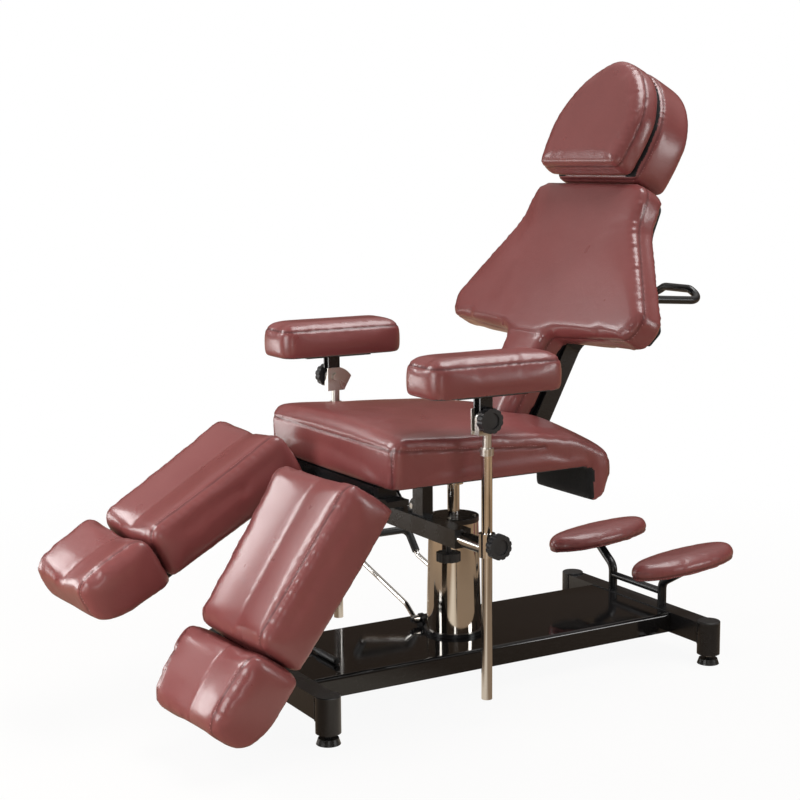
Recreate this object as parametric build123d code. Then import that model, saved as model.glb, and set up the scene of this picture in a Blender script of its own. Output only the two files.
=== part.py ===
from build123d import *
import os
from math import cos, radians, sin

# Tattoo chair on a four-foot steel base: a foot-pumped column carries a seat, a reclining
# back with a head cushion, two legs that raise and spread, and two armrests on posts.
# Millimetres. X runs across the chair, the feet of the client point to -Y, and Z is up.
# The model is drawn about the middle of the four corner posts on the floor, and every
# piece is moved along Y at the end, so that the origin lies under the middle of the part.

# Clearances that several pieces share
overrun = 2.0
running_fit = 0.05
cushion_gap = 0.3
bolt_gap = 0.2

# Corner posts of the base
post_half_x = 250.0
post_half_y = 471.0
post_radius = 25.0
post_wall = 3.0
post_low_z = 22.0
post_top_z = 92.0
post_end_plate = 6.0

# Plastic caps on the corner posts
cap_height = 4.0
cap_plug_depth = 12.0
cap_rim = 1.5

# Levelling feet
foot_radius = 24.0
foot_height = 12.0
foot_taper = 4.0
stud_radius = 6.0
stud_seat_z = 4.0
stud_top_z = 60.0
stud_nut_height = 7.0
stud_nut_radius = 10.5
stud_nut_gap = 3.0

# Crossbars between the posts
crossbar_depth = 44.0
crossbar_low_z = 46.0
crossbar_top_z = 92.0
crossbar_wall = 3.0

# Folded deck pan
deck_half_x = 147.0
deck_low_z = 48.0
deck_top_z = 90.0
deck_wall = 3.0
deck_bend = 7.0

# Foot pump
pump_y = -31.0
flange_radius = 65.0
flange_height = 8.0
flange_bolt_circle = 49.0
flange_bolt_count = 6
cylinder_radius = 40.0
cylinder_bore = 30.0
cylinder_floor = 12.0
cylinder_top_z = 322.0
cover_base_radius = 59.5
cover_top_radius = 53.5
cover_wall = 2.0
cover_top_z = 334.0
pump_cap_radius = 54.5
pump_cap_height = 12.0
gland_depth = 18.0
cap_screw_circle = 45.0
cap_screw_count = 4

# Bolts of the base and the frame
bolt_head_radius = 6.5
bolt_head_height = 5.0
bolt_shank_radius = 4.0
screw_head_radius = 4.0
screw_head_height = 2.5
screw_shank_radius = 2.5
screw_length = 8.0

# Lift ram with its piston and the collar that the seat turns on
ram_radius = 13.0
piston_low_z = 150.0
piston_height = 20.0
collar_low_z = 414.0
collar_height = 12.0
collar_radius = 21.0
ram_top_z = 451.0

# Swivel hub and its plate under the seat frame
hub_radius = 28.0
hub_gap = 0.3
hub_plate_half_x = 88.0
hub_plate_half_y = 55.0
hub_plate_height = 8.0
hub_bolt_inset = 18.0

# Pump pedal
pedal_axis_x = -72.0
pedal_axis_z = 104.0
pedal_rear_y = 60.0
pedal_front_y = -85.0
pedal_rod_radius = 5.5
pedal_heel_x = -112.0
pedal_heel_z = 130.0
pedal_knee_x = -304.0
pedal_knee_z = 181.0
pedal_tip_x = -350.0
pedal_tip_z = 233.0
pedal_heel_bend = 30.0
pedal_knee_bend = 25.0
pedal_corner_bend = 18.0
pedal_barrel_radius = 9.0
pedal_barrel_half = 7.0
pedal_sleeve_radius = 9.0
pedal_sleeve_share = 0.85
pedal_shaft_radius = 5.0
lug_thickness = 8.0
lug_radius = 12.0
lug_offset = 4.0

# Small lever that lies on the deck near its foot end
lever_pivot_x = -41.0
lever_setback = 109.5
lever_y = lever_setback - post_half_y
lever_height = 7.3
lever_rod_radius = 3.5
lever_eye_radius = 8.0
lever_eye_height = 8.0
lever_pin_radius = 4.0
lever_grip_start_x = 0.0
lever_grip_end_x = 80.0
lever_grip_radius = 6.5
lever_tip_length = 4.0

# Leg rest behind the column for a client who sits the other way round
rest_upright_x = 90.0
rest_upright_radius = 10.0
rest_elbow_z = 146.0
rest_elbow_bend = 26.0
rest_pad_x = 155.0
rest_pad_y = 477.0
rest_pad_z = 190.0
rest_pad_tilt = 4.5
rest_pad_half_x = 52.5
rest_pad_half_y = 137.0
rest_pad_height = 36.0
rest_plate_half_x = 25.0
rest_plate_half_y = 40.0
rest_plate_height = 5.0
rest_tie_z = 124.0
rest_tie_radius = 8.0

# Seat frame of flat tube
frame_low_z = 454.0
frame_top_z = 474.0
frame_wall = 2.5
rail_inner_x = 48.0
rail_outer_x = 88.0
front_tube_y = -315.0
front_tube_half_y = 20.0
front_tube_half_x = 212.0
rear_tube_low_y = 58.0
rear_tube_high_y = 84.0
rear_tube_half_x = 150.0
flap_bar_low_x = 122.0
flap_bar_high_y = 134.0

# Back hinge
hinge_y = 118.0
hinge_z = 472.0
hinge_pin_radius = 8.0
hinge_lug_inner_x = 60.3
hinge_lug_thickness = 8.0
hinge_lug_radius = 14.0

# Seat board and cushion
board_height = 12.0
seat_half_x = 268.0
seat_front_y = -331.0
seat_rear_y = 173.0
seat_board_inset = 16.0
seat_board_rear_y = 136.0
notch_half_x = 70.0
notch_front_y = 45.0
seat_front_height = 97.0
seat_front_crown = 15.0
seat_rear_height = 28.0
seat_draw = 5.0
wall_front_y = 138.0
wall_rear_y = 182.0
wall_low_z = 404.0
wall_top_z = 502.0

# Arm beam, its hangers and gussets
beam_y = -149.0
beam_z = 353.0
beam_side = 38.0
beam_wall = 2.5
beam_half_x = 222.0
beam_collar = 20.0
hanger_half_y = 12.5
gusset_radius = 34.0
gusset_thickness = 6.0
gusset_bolt_inset = 14.0

# Armrest slide tubes and height sleeves
slide_tube_radius = 16.0
slide_tube_wall = 2.5
slide_tube_inner_x = 90.0
arm_side_clearance = 41.0
arm_x = seat_half_x + arm_side_clearance
sleeve_radius = 16.5
sleeve_low_z = 335.0
sleeve_high_z = 382.0

# Armrest posts
arm_post_radius = 10.75
arm_post_wall = 2.0
arm_post_low_z = 48.0
arm_post_top_z = 535.0
far_post_lift = 13.0

# Armrest stems, tilt brackets and bolts
stem_depth = 60.0
stem_collar_radius = 13.5
stem_collar_height = 14.0
tilt_y = -158.0
tilt_z = 607.0
eye_radius = 14.0
eye_half_x = 8.0
cheek_gap = 0.3
cheek_thickness = 4.0
cheek_half_y = 14.0
sector_thickness = 3.0
sector_reach = 41.0
sector_rise = 20.0
sector_drop = 31.0
sector_foot = 23.0
sector_front = 18.0
bridge_height = 7.0
bracket_top_height = 4.0
bracket_top_half_x = 30.0
bracket_top_half_y = 80.0
tilt_bolt_radius = 5.0
tilt_bolt_end = 26.0
tilt_head_height = 7.0

# Armrest cushions
arm_pad_low_z = 657.0
arm_pad_height = 71.0
arm_pad_half_x = 60.0
arm_pad_front_y = -300.0
arm_pad_rear_y = -9.0
arm_pad_corner = 26.0
arm_pad_draw = 5.0
arm_pad_crown = 6.0

# Hand knobs
knob_radius = 25.0
knob_height = 17.0
knob_lobes = 12
knob_scallop = 5.0
knob_scallop_reach = 3.4
knob_dish_radius = 16.0
knob_dish_depth = 3.0
knob_stem_radius = 5.0
knob_hub_radius = 10.0
width_knob_x = 168.0
width_knob_drop = 20.0
height_knob_z = 363.0
height_knob_stand_off = 16.0
tilt_knob_start = 12.8
tilt_knob_grip = 15.0
tilt_knob_end = 33.0

# Leg brackets that spread and carry the raising hinge
spread_x = 177.0
spread_pin_radius = 12.0
raise_y = -358.0
raise_z = 448.0
raise_pin_radius = 7.0
bracket_plate_low_z = 442.0
bracket_gap = 0.3
bracket_plate_half_x = 74.0
bracket_plate_front_y = -341.0
bracket_plate_rear_y = -295.0
ear_thickness = 8.0
ear_radius = 13.0
near_leg_yaw_angle = 5.2
near_leg_pitch_angle = 53.3
far_leg_yaw_angle = -3.8
far_leg_pitch_angle = 29.2

# Leg frames, measured from the raising hinge towards the foot
leg_pad_base = 12.0
leg_pan_height = 3.0
leg_tube_inner_x = 41.0
leg_tube_outer_x = 65.0
leg_tube_low = -12.0
leg_tube_wall = 2.5
leg_tube_start = 14.0
leg_tube_end = 320.0
leg_pan_inset = 12.0
leg_eye_radius = 12.0

# Leg cushions
leg_pad_start = 10.0
leg_pad_length = 335.0
leg_pad_start_half_x = 131.0
leg_pad_end_half_x = 118.5
leg_pad_start_height = 106.0
leg_pad_end_height = 99.0
leg_trough = 14.0
leg_pad_round = 10.0
pad_side_draw = 3.0

# Foot slides and cushions
foot_rod_start = 120.0
foot_rod_end = 452.0
foot_pan_end = 470.0
foot_pad_start = 366.0
foot_pad_end = 518.0
foot_pad_start_half_x = 131.0
foot_pad_end_half_x = 118.0
foot_pad_height = 106.0
foot_pad_end_rise = 34.0
foot_trough = 22.0
foot_pan_margin = 12.0

# Back, in a plane through its hinge that leans with it
back_lean_angle = 28.0
back_face = 89.0
back_thickness = 60.0
back_sweep_radius = 5000.0
back_half_x = 345.0
back_top = 604.0
back_board_inset = 14.0
back_corner_shares = ((0.555, 1.0), (0.588, 0.845), (1.003, 0.516), (0.94, 0.438), (0.186, 0.414),
                      (0.151, 0.0335))
back_round_shares = (0.11, 0.23, 0.08, 0.06, 0.075, 0.05)

# Back frame of two upright tubes and two cross tubes
upright_inner_x = 34.0
upright_outer_x = 60.0
upright_low = -21.0
upright_high = 17.5
upright_top = 560.0
upright_socket = 120.0
cross_low_share = 0.463
cross_high_share = 0.606
cross_height = 26.0
cross_half_x = 150.0
fillet_radius = 34.0

# Push handle behind the back
handle_half_x = 88.0
handle_radius = 9.0
handle_y = 574.0
handle_z = 781.0
handle_crest_half_x = 44.0
handle_crest_z = 804.0
handle_bend = 34.0
handle_crest_bend = 30.0
handle_root_z = 799.0

# Headrest rods and bracket
head_rod_x = 47.0
head_rod_radius = 7.0
head_rod_z = -2.0
head_rod_low = 452.0
head_pivot = 640.0
head_tube_radius = 9.0
head_tube_half_x = 58.0
clamp_inner_x = 18.0
clamp_outer_x = 34.0
clamp_radius = 14.0
head_plate_half_x = 60.0
head_plate_height = 4.0

# Head board, cushion and front pillow
head_low = 620.0
head_top = 877.0
head_half_x = 149.0
head_low_half_x = 138.0
head_thickness = 98.0
head_recess_half_x = 80.0
head_recess_top = 712.0
head_recess_face = 33.0
head_board_inset = 16.0
head_edge_round = 10.0
pillow_thickness = 55.0
pillow_front_inset = 7.0
pillow_draw = 7.0


def block(x_span, y_span, z_span):
    """A box between a low and a high value on each axis."""
    spans = (x_span, y_span, z_span)
    middle = [(low + high) / 2 for low, high in spans]
    size = [high - low for low, high in spans]
    return Pos(*middle) * Box(*size)


def rod(start, end, radius):
    """A round bar from one point to another."""
    run = Vector(*end) - Vector(*start)
    return Solid.make_cylinder(radius, run.length, Plane(origin=start, z_dir=run))


def hexagon(start, end, radius):
    """A hexagonal bar from one point to another, by its corner radius."""
    run = Vector(*end) - Vector(*start)
    return extrude(Plane(origin=start, z_dir=run) * RegularPolygon(radius, side_count=6), run.length)


def box_tube(x_span, y_span, z_span, wall, axis):
    """A rectangular tube that is open at both ends along one axis."""
    inner = [(low + wall, high - wall) for low, high in (x_span, y_span, z_span)]
    low, high = (x_span, y_span, z_span)[axis]
    inner[axis] = (low - overrun, high + overrun)
    return block(x_span, y_span, z_span) - block(*inner)


def bent_rod(points, bends, radius):
    """A round bar along straight runs that are joined by tangent bends."""
    path = FilletPolyline(*points, radius=bends)
    return sweep(Plane(origin=path @ 0, z_dir=path % 0) * Circle(radius), path=path)


def bolt(x, y, z, turn=1):
    """A hexagon bolt through a face at height z, with its head above or below the face."""
    head = hexagon((x, y, z), (x, y, z + turn * bolt_head_height), bolt_head_radius)
    return head + rod((x, y, z), (x, y, z - turn * 2 * bolt_head_height), bolt_shank_radius)


def bolt_hole(x, y, z):
    """The clearance hole that a frame bolt passes through."""
    reach = 3 * bolt_head_height
    return rod((x, y, z - reach), (x, y, z + reach), bolt_shank_radius + bolt_gap)


def outline_face(points, bulges, place):
    """A closed face whose sides are lines, or arcs that bulge to the right of their run."""
    edges = []
    for index, (start, bulge) in enumerate(zip(points, bulges)):
        first = Vector(*start)
        last = Vector(*points[(index + 1) % len(points)])
        run = last - first
        normal = Vector(run.Y, -run.X).normalized()
        middle = (first + last) * 0.5 + normal * bulge
        edges.append(ThreePointArc(first, middle, last) if bulge else Line(first, last))
    return place * make_face(edges)


def lofted(stations, section, place):
    """A body through sections that stand square to a run, one for each station."""
    return loft([section(station, place(station[0])) for station in stations], ruled=True)


def hand_knob(grip_low, grip_high, stem_low, stem_radius):
    """A lobed knob on the Z axis with a dished outer face and a stem or hub behind it."""
    grip = rod((0, 0, grip_low), (0, 0, grip_high), knob_radius)
    for index in range(knob_lobes):
        turn = Rot(0, 0, index * 360 / knob_lobes)
        centre = knob_radius + knob_scallop_reach
        low = (centre, 0, grip_low - overrun)
        high = (centre, 0, grip_high + overrun)
        grip -= turn * rod(low, high, knob_scallop)
    dish_low = (0, 0, grip_high - knob_dish_depth)
    grip -= rod(dish_low, (0, 0, grip_high + overrun), knob_dish_radius)
    return grip + rod((0, 0, stem_low), (0, 0, grip_low + overrun), stem_radius)


def mirrored(shape):
    """The same shape on the other side of the chair."""
    return mirror(shape, about=Plane.YZ)


def corner_places():
    """The four corners of the base on the floor."""
    return [Pos(x * post_half_x, y * post_half_y, 0) for x in (-1, 1) for y in (-1, 1)]


def corner_posts():
    """Four round tubes with a threaded plate at the foot."""
    bore_low = post_low_z + post_end_plate
    post = rod((0, 0, post_low_z), (0, 0, post_top_z), post_radius)
    post -= rod((0, 0, bore_low), (0, 0, post_top_z + overrun), post_radius - post_wall)
    post -= rod((0, 0, post_low_z - overrun), (0, 0, bore_low + overrun), stud_radius)
    return [place * post for place in corner_places()]


def post_caps():
    """Plugs that close the tops of the corner posts."""
    plug_low = post_top_z - cap_plug_depth
    lid = rod((0, 0, post_top_z), (0, 0, post_top_z + cap_height), post_radius)
    lid = chamfer(lid.edges().group_by(Axis.Z)[-1], cap_rim)
    plug = rod((0, 0, plug_low), (0, 0, post_top_z), post_radius - post_wall)
    return [place * (lid + plug) for place in corner_places()]


def levelling_feet():
    """Round feet, each on a threaded stud with a lock nut."""
    pad = Solid.make_cone(foot_radius, foot_radius - foot_taper, foot_height)
    pad -= rod((0, 0, stud_seat_z), (0, 0, foot_height + overrun), stud_radius)
    stud = rod((0, 0, stud_seat_z), (0, 0, stud_top_z), stud_radius)
    nut_low = post_low_z - stud_nut_height
    stud += hexagon((0, 0, nut_low), (0, 0, post_low_z), stud_nut_radius)
    return [place * piece for place in corner_places() for piece in (pad, stud)]


def crossbars():
    """A rectangular tube at each end, coped to the corner posts."""
    bars = []
    for side in (-1, 1):
        y = side * post_half_y
        y_span = (y - crossbar_depth / 2, y + crossbar_depth / 2)
        z_span = (crossbar_low_z, crossbar_top_z)
        bar = box_tube((-post_half_x, post_half_x), y_span, z_span, crossbar_wall, 0)
        for x in (-post_half_x, post_half_x):
            bar -= rod((x, y, 0), (x, y, post_top_z + overrun), post_radius)
        bars.append(bar)
    return bars


def deck_half_y():
    """Half of the deck's length, which fills the space between the crossbars."""
    return post_half_y - crossbar_depth / 2


def base_deck():
    """A folded pan, open below, with rounded long edges and holes for the pump bolts."""
    half_y = deck_half_y()
    outer = block((-deck_half_x, deck_half_x), (-half_y, half_y), (deck_low_z, deck_top_z))
    outer = fillet(outer.edges().filter_by(Axis.Y).group_by(Axis.Z)[-1], deck_bend)
    inner_x = deck_half_x - deck_wall
    inner_y = half_y - deck_wall
    inner_top = deck_top_z - deck_wall
    inner = block((-inner_x, inner_x), (-inner_y, inner_y), (deck_low_z - overrun, inner_top))
    inner = fillet(inner.edges().filter_by(Axis.Y).group_by(Axis.Z)[-1], deck_bend - deck_wall)
    deck = outer - inner
    for x, y in flange_bolt_places():
        deck -= bolt_hole(x, y, deck_top_z)
    pin_low = (lever_pivot_x, lever_y, inner_top - overrun)
    return [deck - rod(pin_low, (lever_pivot_x, lever_y, deck_top_z + overrun), lever_pin_radius)]


def flange_bolt_places():
    """The places of the pump's bolts on the deck."""
    places = []
    for index in range(flange_bolt_count):
        turn = radians(index * 360 / flange_bolt_count)
        x = flange_bolt_circle * cos(turn)
        places.append((x, pump_y + flange_bolt_circle * sin(turn)))
    return places


def flange_top_z():
    """The height that the pump's cover stands on."""
    return deck_top_z + flange_height


def pump_flange():
    """The round foot of the pump, which goes round its cylinder."""
    flange = rod((0, pump_y, deck_top_z), (0, pump_y, flange_top_z()), flange_radius)
    low = (0, pump_y, deck_top_z - overrun)
    flange -= rod(low, (0, pump_y, flange_top_z() + overrun), cylinder_radius)
    for x, y in flange_bolt_places():
        flange -= bolt_hole(x, y, flange_top_z())
    return [flange]


def base_bolts():
    """The pump's flange bolts, the screws of its cap and the pivot bolt of the deck lever."""
    bolts = [bolt(x, y, flange_top_z()) for x, y in flange_bolt_places()]
    cap_top = cover_top_z + pump_cap_height
    for index in range(cap_screw_count):
        place = Pos(0, pump_y, cap_top) * Rot(0, 0, (index + 0.5) * 360 / cap_screw_count)
        head = rod((0, 0, 0), (0, 0, screw_head_height), screw_head_radius)
        shank = rod((0, 0, -screw_length), (0, 0, 0), screw_shank_radius)
        bolts.append(place * (Pos(cap_screw_circle, 0, 0) * (head + shank)))
    eye_top = lever_z() + lever_eye_height / 2 + cushion_gap
    foot = (lever_pivot_x, lever_y, deck_top_z - deck_wall)
    neck = (lever_pivot_x, lever_y, eye_top)
    pin = rod(foot, neck, lever_pin_radius)
    crown = (lever_pivot_x, lever_y, eye_top + screw_head_height)
    bolts.append(pin + hexagon(neck, crown, bolt_head_radius))
    return bolts


def pump_cylinder():
    """The pump's pressure cylinder, closed below."""
    tube = rod((0, pump_y, deck_top_z), (0, pump_y, cylinder_top_z), cylinder_radius)
    floor_z = deck_top_z + cylinder_floor
    return [tube - rod((0, pump_y, floor_z), (0, pump_y, cylinder_top_z + overrun), cylinder_bore)]


def pump_cover():
    """The polished tapering shell round the cylinder."""
    low = flange_top_z()
    height = cover_top_z - low
    base = Plane(origin=(0, pump_y, low))
    outer = Solid.make_cone(cover_base_radius, cover_top_radius, height, base)
    inner = Solid.make_cone(cover_base_radius - cover_wall, cover_top_radius - cover_wall, height, base)
    return [outer - inner]


def pump_cap():
    """The lid of the pump, with the gland that guides the ram."""
    top = cover_top_z + pump_cap_height
    lid = rod((0, pump_y, cover_top_z), (0, pump_y, top), pump_cap_radius)
    lid = fillet(lid.edges().group_by(Axis.Z)[-1], cap_rim)
    boss = rod((0, pump_y, cylinder_top_z), (0, pump_y, cover_top_z), cylinder_radius)
    gland_low = cylinder_top_z - gland_depth
    gland = rod((0, pump_y, gland_low), (0, pump_y, cylinder_top_z), cylinder_bore - running_fit)
    cap = lid + boss + gland
    cap -= rod((0, pump_y, gland_low - overrun), (0, pump_y, top + overrun), ram_radius + running_fit)
    for index in range(cap_screw_count):
        place = Pos(0, pump_y, top) * Rot(0, 0, (index + 0.5) * 360 / cap_screw_count)
        low = (cap_screw_circle, 0, -screw_length)
        cap -= place * rod(low, (cap_screw_circle, 0, overrun), screw_shank_radius)
    return [cap]


def lift_ram():
    """The ram with its piston below and the collar and spigot that the hub turns on."""
    ram = rod((0, pump_y, piston_low_z), (0, pump_y, ram_top_z), ram_radius)
    piston_top = (0, pump_y, piston_low_z + piston_height)
    ram += rod((0, pump_y, piston_low_z), piston_top, cylinder_bore - running_fit)
    collar_top = (0, pump_y, collar_low_z + collar_height)
    return [ram + rod((0, pump_y, collar_low_z), collar_top, collar_radius)]


def hub_bolt_places():
    """The places of the four bolts through the hub plate."""
    x = hub_plate_half_x - hub_bolt_inset
    y = hub_plate_half_y - hub_bolt_inset
    return [(a * x, pump_y + b * y) for a in (-1, 1) for b in (-1, 1)]


def swivel_hub():
    """The hub that turns on the ram, with the plate that is bolted to the seat frame."""
    low = collar_low_z + collar_height + hub_gap
    plate_low = frame_low_z - hub_plate_height
    hub = rod((0, pump_y, low), (0, pump_y, plate_low), hub_radius)
    y_span = (pump_y - hub_plate_half_y, pump_y + hub_plate_half_y)
    hub += block((-hub_plate_half_x, hub_plate_half_x), y_span, (plate_low, frame_low_z))
    top = (0, pump_y, ram_top_z + cushion_gap)
    hub -= rod((0, pump_y, low - overrun), top, ram_radius + running_fit)
    for x, y in hub_bolt_places():
        hub -= bolt_hole(x, y, plate_low)
    return [hub]


def lug_centres():
    """Where the two deck lugs stand along the pedal's shaft."""
    inner = lug_offset + lug_thickness / 2 + pedal_barrel_half
    return (pedal_front_y + inner, pedal_rear_y - inner)


def pedal_lugs():
    """Two lugs on the deck and the shaft through them that the pedal swings on."""
    lugs = []
    for y in lug_centres():
        y_span = (y - lug_thickness / 2, y + lug_thickness / 2)
        x_span = (pedal_axis_x - lug_radius, pedal_axis_x + lug_radius)
        lug = block(x_span, y_span, (deck_top_z, pedal_axis_z))
        lug += rod((pedal_axis_x, y_span[0], pedal_axis_z), (pedal_axis_x, y_span[1], pedal_axis_z),
                   lug_radius)
        low = (pedal_axis_x, y_span[0] - overrun, pedal_axis_z)
        lug -= rod(low, (pedal_axis_x, y_span[1] + overrun, pedal_axis_z), pedal_shaft_radius)
        ring_low = (0, pump_y, deck_top_z - overrun)
        lug -= rod(ring_low, (0, pump_y, flange_top_z()), flange_radius)
        lugs.append(lug)
    end = pedal_barrel_half + lug_offset
    shaft_low = (pedal_axis_x, pedal_front_y - end, pedal_axis_z)
    shaft_high = (pedal_axis_x, pedal_rear_y + end, pedal_axis_z)
    return lugs + [rod(shaft_low, shaft_high, pedal_shaft_radius)]


def pedal_bail():
    """One bent rod that ends in a barrel on the shaft at each side."""
    points = []
    for y, turn in ((pedal_rear_y, 1), (pedal_front_y, -1)):
        arm = [(pedal_axis_x, y, pedal_axis_z), (pedal_heel_x, y, pedal_heel_z),
               (pedal_knee_x, y, pedal_knee_z), (pedal_tip_x, y, pedal_tip_z)]
        points += arm[::turn]
    bends = [pedal_heel_bend, pedal_knee_bend, pedal_corner_bend]
    bail = bent_rod(points, bends + bends[::-1], pedal_rod_radius)
    for y in (pedal_rear_y, pedal_front_y):
        low = (pedal_axis_x, y - pedal_barrel_half, pedal_axis_z)
        high = (pedal_axis_x, y + pedal_barrel_half, pedal_axis_z)
        bail += rod(low, high, pedal_barrel_radius)
    for y in (pedal_rear_y, pedal_front_y):
        low = (pedal_axis_x, y - pedal_barrel_half - overrun, pedal_axis_z)
        high = (pedal_axis_x, y + pedal_barrel_half + overrun, pedal_axis_z)
        bail -= rod(low, high, pedal_shaft_radius + running_fit)
    return [bail]


def pedal_sleeve():
    """The rubber sleeve that the foot presses, which runs round both corners of the bail."""
    end_x = pedal_tip_x + (pedal_knee_x - pedal_tip_x) * pedal_sleeve_share
    end_z = pedal_tip_z + (pedal_knee_z - pedal_tip_z) * pedal_sleeve_share
    points = [(end_x, pedal_rear_y, end_z), (pedal_tip_x, pedal_rear_y, pedal_tip_z),
              (pedal_tip_x, pedal_front_y, pedal_tip_z), (end_x, pedal_front_y, end_z)]
    sleeve = bent_rod(points, [pedal_corner_bend, pedal_corner_bend], pedal_sleeve_radius)
    return [sleeve - pedal_bail()[0]]


def lever_z():
    """The height of the deck lever's rod."""
    return deck_top_z + lever_height


def deck_lever():
    """A thin rod with an eye at its pivot and a rubber grip."""
    z = lever_z()
    eye_low = (lever_pivot_x, lever_y, z - lever_eye_height / 2)
    eye_high = (lever_pivot_x, lever_y, z + lever_eye_height / 2)
    tip = (lever_grip_end_x + lever_tip_length, lever_y, z)
    lever = rod((lever_pivot_x, lever_y, z), tip, lever_rod_radius)
    lever += rod(eye_low, eye_high, lever_eye_radius)
    low = (lever_pivot_x, lever_y, z - lever_eye_height)
    high = (lever_pivot_x, lever_y, z + lever_eye_height)
    lever -= rod(low, high, lever_pin_radius + running_fit)
    grip_start = (lever_grip_start_x, lever_y, z)
    grip_end = (lever_grip_end_x, lever_y, z)
    grip = rod(grip_start, grip_end, lever_grip_radius) - rod(grip_start, grip_end, lever_rod_radius)
    return [lever, grip]


def rest_plane():
    """The underside of the leg rest pad on the +X side, which rises to the rear."""
    return Location((rest_pad_x, rest_pad_y, rest_pad_z), (rest_pad_tilt, 0, 0))


def rest_frame():
    """Two bent uprights from the rear crossbar with a tie between them and a plate on each."""
    y = post_half_y
    points = [(rest_upright_x, y, crossbar_top_z), (rest_upright_x, y, rest_elbow_z),
              (rest_pad_x, rest_pad_y, rest_pad_z - rest_plate_height)]
    upright = bent_rod(points, [rest_elbow_bend], rest_upright_radius)
    plate = block((-rest_plate_half_x, rest_plate_half_x), (-rest_plate_half_y, rest_plate_half_y),
                  (-rest_plate_height, 0))
    side = upright - rest_plane() * block_above()
    side += rest_plane() * plate
    tie = rod((-rest_upright_x, y, rest_tie_z), (rest_upright_x, y, rest_tie_z), rest_tie_radius)
    return [side + mirrored(side) + tie]


def block_above():
    """The space over a leg rest plate, used to trim the end of its upright."""
    reach = rest_pad_half_x
    return block((-reach, reach), (-reach, reach), (-rest_plate_height / 2, reach))


def rest_pads():
    """Two oval pads with a crown."""
    levels = ((0, pad_side_draw), (rest_pad_height * 0.25, 0), (rest_pad_height * 0.6, 0),
              (rest_pad_height * 0.9, rest_pad_height * 0.25), (rest_pad_height, rest_pad_height * 0.6))
    faces = []
    for z, inset in levels:
        faces.append(Pos(0, 0, z) * Ellipse(rest_pad_half_x - inset, rest_pad_half_y - inset))
    pad = rest_plane() * loft(faces, ruled=True)
    return [pad, mirrored(pad)]


def leg_pivot_hole(x):
    """The bore in the front tube that a leg bracket's spigot turns in."""
    low = (x, front_tube_y, frame_low_z - overrun)
    return rod(low, (x, front_tube_y, frame_top_z + overrun), spread_pin_radius + running_fit)


def hinge_lug(x_low):
    """One ear of the back hinge, welded to the rear tube."""
    x_high = x_low + hinge_lug_thickness
    ear = rod((x_low, hinge_y, hinge_z), (x_high, hinge_y, hinge_z), hinge_lug_radius)
    ear += block((x_low, x_high), (rear_tube_high_y, hinge_y), (frame_low_z + frame_wall, hinge_z))
    return ear - rod((x_low - overrun, hinge_y, hinge_z), (x_high + overrun, hinge_y, hinge_z),
                     hinge_pin_radius)


def seat_frame():
    """Rails, cross tubes, flap bars and hinge ears, welded into one frame."""
    z_span = (frame_low_z, frame_top_z)
    front = (front_tube_y - front_tube_half_y, front_tube_y + front_tube_half_y)
    frame = block((-front_tube_half_x, front_tube_half_x), front, z_span)
    frame += block((-rear_tube_half_x, rear_tube_half_x), (rear_tube_low_y, rear_tube_high_y), z_span)
    for side in (-1, 1):
        rail = sorted((side * rail_inner_x, side * rail_outer_x))
        frame += block(rail, (front[1] - overrun, rear_tube_low_y + overrun), z_span)
        flap = sorted((side * flap_bar_low_x, side * rear_tube_half_x))
        frame += block(flap, (rear_tube_low_y, flap_bar_high_y), z_span)
        frame -= leg_pivot_hole(side * spread_x)
    ear = hinge_lug(hinge_lug_inner_x)
    frame += ear + mirrored(ear)
    for x, y in hub_bolt_places():
        frame -= bolt_hole(x, y, frame_low_z)
    return [frame]


def frame_bolts():
    """Hub bolts from below and the bolts through the hanger gussets."""
    plate_low = frame_low_z - hub_plate_height
    bolts = [bolt(x, y, plate_low, -1) for x, y in hub_bolt_places()]
    reach = hanger_half_y - gusset_thickness / 2
    for side in (-1, 1):
        x = side * (rail_inner_x - gusset_bolt_inset)
        z = beam_z + beam_side / 2 + gusset_bolt_inset
        face = beam_y - gusset_thickness / 2
        head = hexagon((x, face, z), (x, face - bolt_head_height, z), bolt_head_radius)
        shank = rod((x, face, z), (x, face + gusset_thickness + reach, z), bolt_shank_radius)
        bolts.append(head + shank)
    return bolts


def hinge_pin():
    """The pin that the back turns on."""
    end = hinge_lug_inner_x + hinge_lug_thickness
    return [rod((-end, hinge_y, hinge_z), (end, hinge_y, hinge_z), hinge_pin_radius)]


def seat_notch(margin):
    """The space for the foot of the back, with a margin round it."""
    half = notch_half_x + margin
    return block((-half, half), (notch_front_y - margin, wall_rear_y + overrun),
                 (wall_low_z - overrun, frame_top_z + seat_front_height * 2))


def seat_board():
    """The plywood board inside the seat cushion."""
    half = seat_half_x - seat_board_inset
    y_span = (seat_front_y + seat_board_inset, seat_board_rear_y)
    board = block((-half, half), y_span, (frame_top_z, frame_top_z + board_height))
    return [board - seat_notch(seat_board_inset / 2)]


def seat_section(station, place):
    """A seat section across the chair, with drawn-in sides and a crowned top."""
    y, height, crown, inset = station
    half = seat_half_x - inset
    points = ((-half + seat_draw, 0), (half - seat_draw, 0), (half, height / 2), (half, height),
              (-half, height), (-half, height / 2))
    return outline_face(points, (0, 0, 0, crown, 0, 0), place)


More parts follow.
